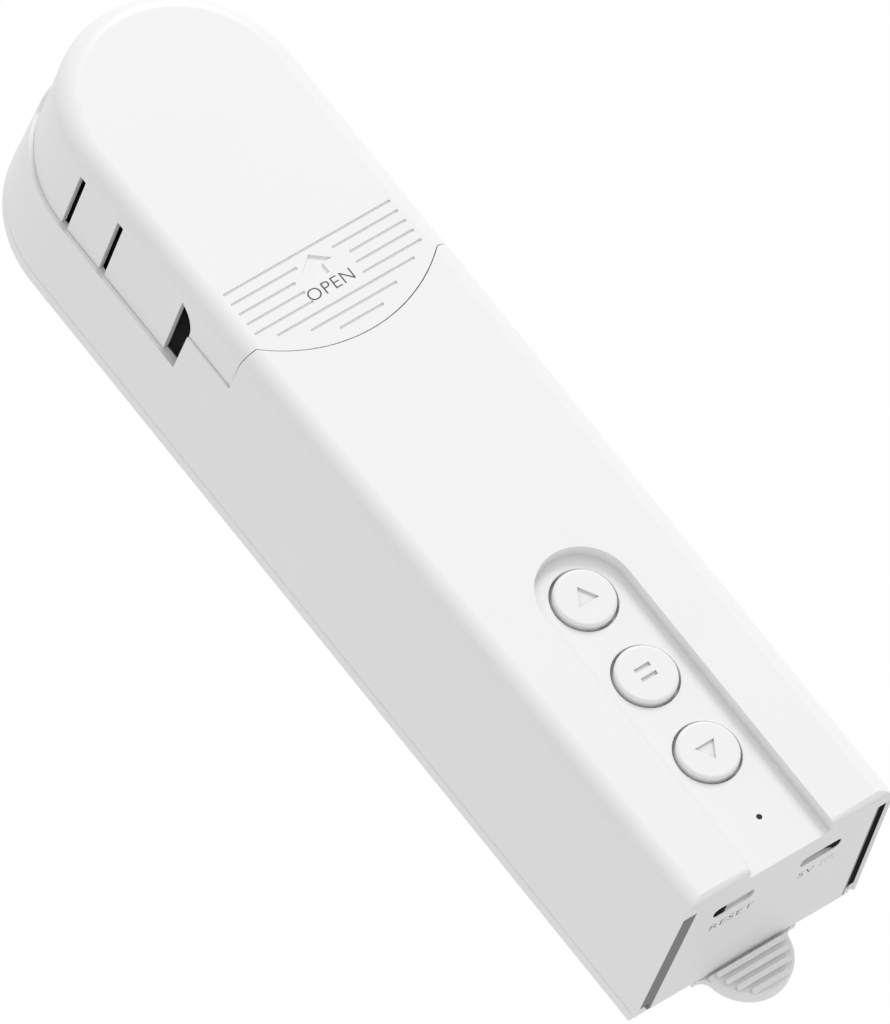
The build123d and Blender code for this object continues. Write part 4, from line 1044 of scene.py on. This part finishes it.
@dataclass
class Studio:
    """Floor, world, lamp and camera. Sizes are in mm."""

    floor_z: float = -2200.0
    floor_half: float = 8000.0
    # Matt studio paper on the floor: pale, nearly without gloss.
    paper: str = "E9E9E9"
    paper_roughness: float = 0.9
    paper_gloss: float = 0.1
    # Strength of the world's light, where 1 is what the camera sees as white.
    ambient: float = 0.76
    # The key lamp: the way to it from the part, its power in watts, its side and its distance.
    key_from: tuple[float, float, float] = (0.55, -0.62, 0.56)
    key_power: float = 88.0
    key_size: float = 1500.0
    key_distance: float = 5000.0
    # The picture: the place in its middle, the ways to its right and up, and its height there.
    aim: tuple[float, float, float] = (-5.4, -26.2, -7.0)
    right: tuple[float, float, float] = (0.7674, -0.2182, -0.6029)
    up: tuple[float, float, float] = (0.4430, -0.4994, 0.7444)
    picture_height: float = 156.8
    # A long lens, for nearly parallel edges, the film's long side, and how far the camera sees.
    lens: float = 1500.0
    sensor: float = 36.0
    sight: float = 100000.0

    def floor(self) -> None:
        """Lays the plain floor far below the part, which hangs on a wall."""
        shape = bmesh.new()
        bmesh.ops.create_grid(shape, x_segments=1, y_segments=1, size=self.floor_half * MM)
        bmesh.ops.translate(shape, vec=(0, 0, self.floor_z * MM), verts=shape.verts)
        plane = from_bmesh("studio_floor", shape)
        paper = empty_material("Studio paper, pale")
        tree = paper.node_tree
        shader = add_node(
            tree,
            "ShaderNodeBsdfPrincipled",
            inputs={
                "Base Color": linear(self.paper),
                "Roughness": self.paper_roughness,
                "Specular IOR Level": self.paper_gloss,
            },
        )
        add_node(tree, "ShaderNodeOutputMaterial", inputs={"Surface": shader.outputs["BSDF"]})
        plane.data.materials.append(paper)

    def surroundings(self) -> None:
        """Lights the part evenly and shows white behind it."""
        world = bpy.data.worlds.new("studio")
        bpy.context.scene.world = world
        world.use_nodes = True
        tree = world.node_tree
        tree.nodes.clear()
        path = add_node(tree, "ShaderNodeLightPath")
        seen = path.outputs["Is Camera Ray"]
        for other in ("Is Glossy Ray", "Is Transmission Ray"):
            seen = add_node(
                tree,
                "ShaderNodeMath",
                {"operation": "MAXIMUM"},
                {"0": seen, "1": path.outputs[other]},
            ).outputs[0]
        strength = add_node(
            tree,
            "ShaderNodeMapRange",
            inputs={"Value": seen, "To Min": self.ambient, "To Max": 1.0},
        )
        light = add_node(
            tree,
            "ShaderNodeBackground",
            inputs={"Color": WHITE, "Strength": strength.outputs["Result"]},
        )
        add_node(tree, "ShaderNodeOutputWorld", inputs={"Surface": light.outputs["Background"]})

    def key_lamp(self) -> None:
        """Hangs the soft key lamp up to the right in front."""
        data = bpy.data.lights.new("key", "AREA")
        data.energy = self.key_power
        data.size = self.key_size * MM
        lamp = new_object("key", data)
        way = Vector(self.key_from).normalized()
        lamp.location = (Vector(self.aim) + way * self.key_distance) * MM
        lamp.rotation_euler = way.to_track_quat("Z", "Y").to_euler()

    def camera(self) -> None:
        """Sets the camera at the photograph's angle, with a long lens."""
        right = Vector(self.right).normalized()
        up = Vector(self.up)
        up = (up - right * up.dot(right)).normalized()
        back = right.cross(up)
        distance = self.picture_height * self.lens / self.sensor
        spot = (Vector(self.aim) + back * distance) * MM
        data = bpy.data.cameras.new("camera")
        data.lens = self.lens
        data.sensor_width = self.sensor
        data.clip_end = self.sight * MM
        eye = new_object("camera", data)
        eye.matrix_world = Matrix(
            (
                (right.x, up.x, back.x, spot.x),
                (right.y, up.y, back.y, spot.y),
                (right.z, up.z, back.z, spot.z),
                (0, 0, 0, 1),
            )
        )
        bpy.context.scene.camera = eye

    def build(self) -> None:
        """Sets up the whole studio."""
        self.floor()
        self.surroundings()
        self.key_lamp()
        self.camera()
        bpy.context.scene.view_settings.view_transform = "Standard"
        LOG.info("studio ready")


def main() -> None:
    """Builds the sub-assemblies in order, then the studio."""
    logging.basicConfig(level=logging.INFO, format="%(message)s")
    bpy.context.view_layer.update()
    for name in START_UP:
        if name in bpy.data.objects:
            bpy.data.objects.remove(bpy.data.objects[name])
    dresser = Dresser()
    for assembly in (Housing(), FrontCover(), ButtonPanel(), Mechanism()):
        assembly.build(dresser)
        LOG.info("built %s", type(assembly).__name__)
    Studio().build()


if __name__ == "__main__":
    main()
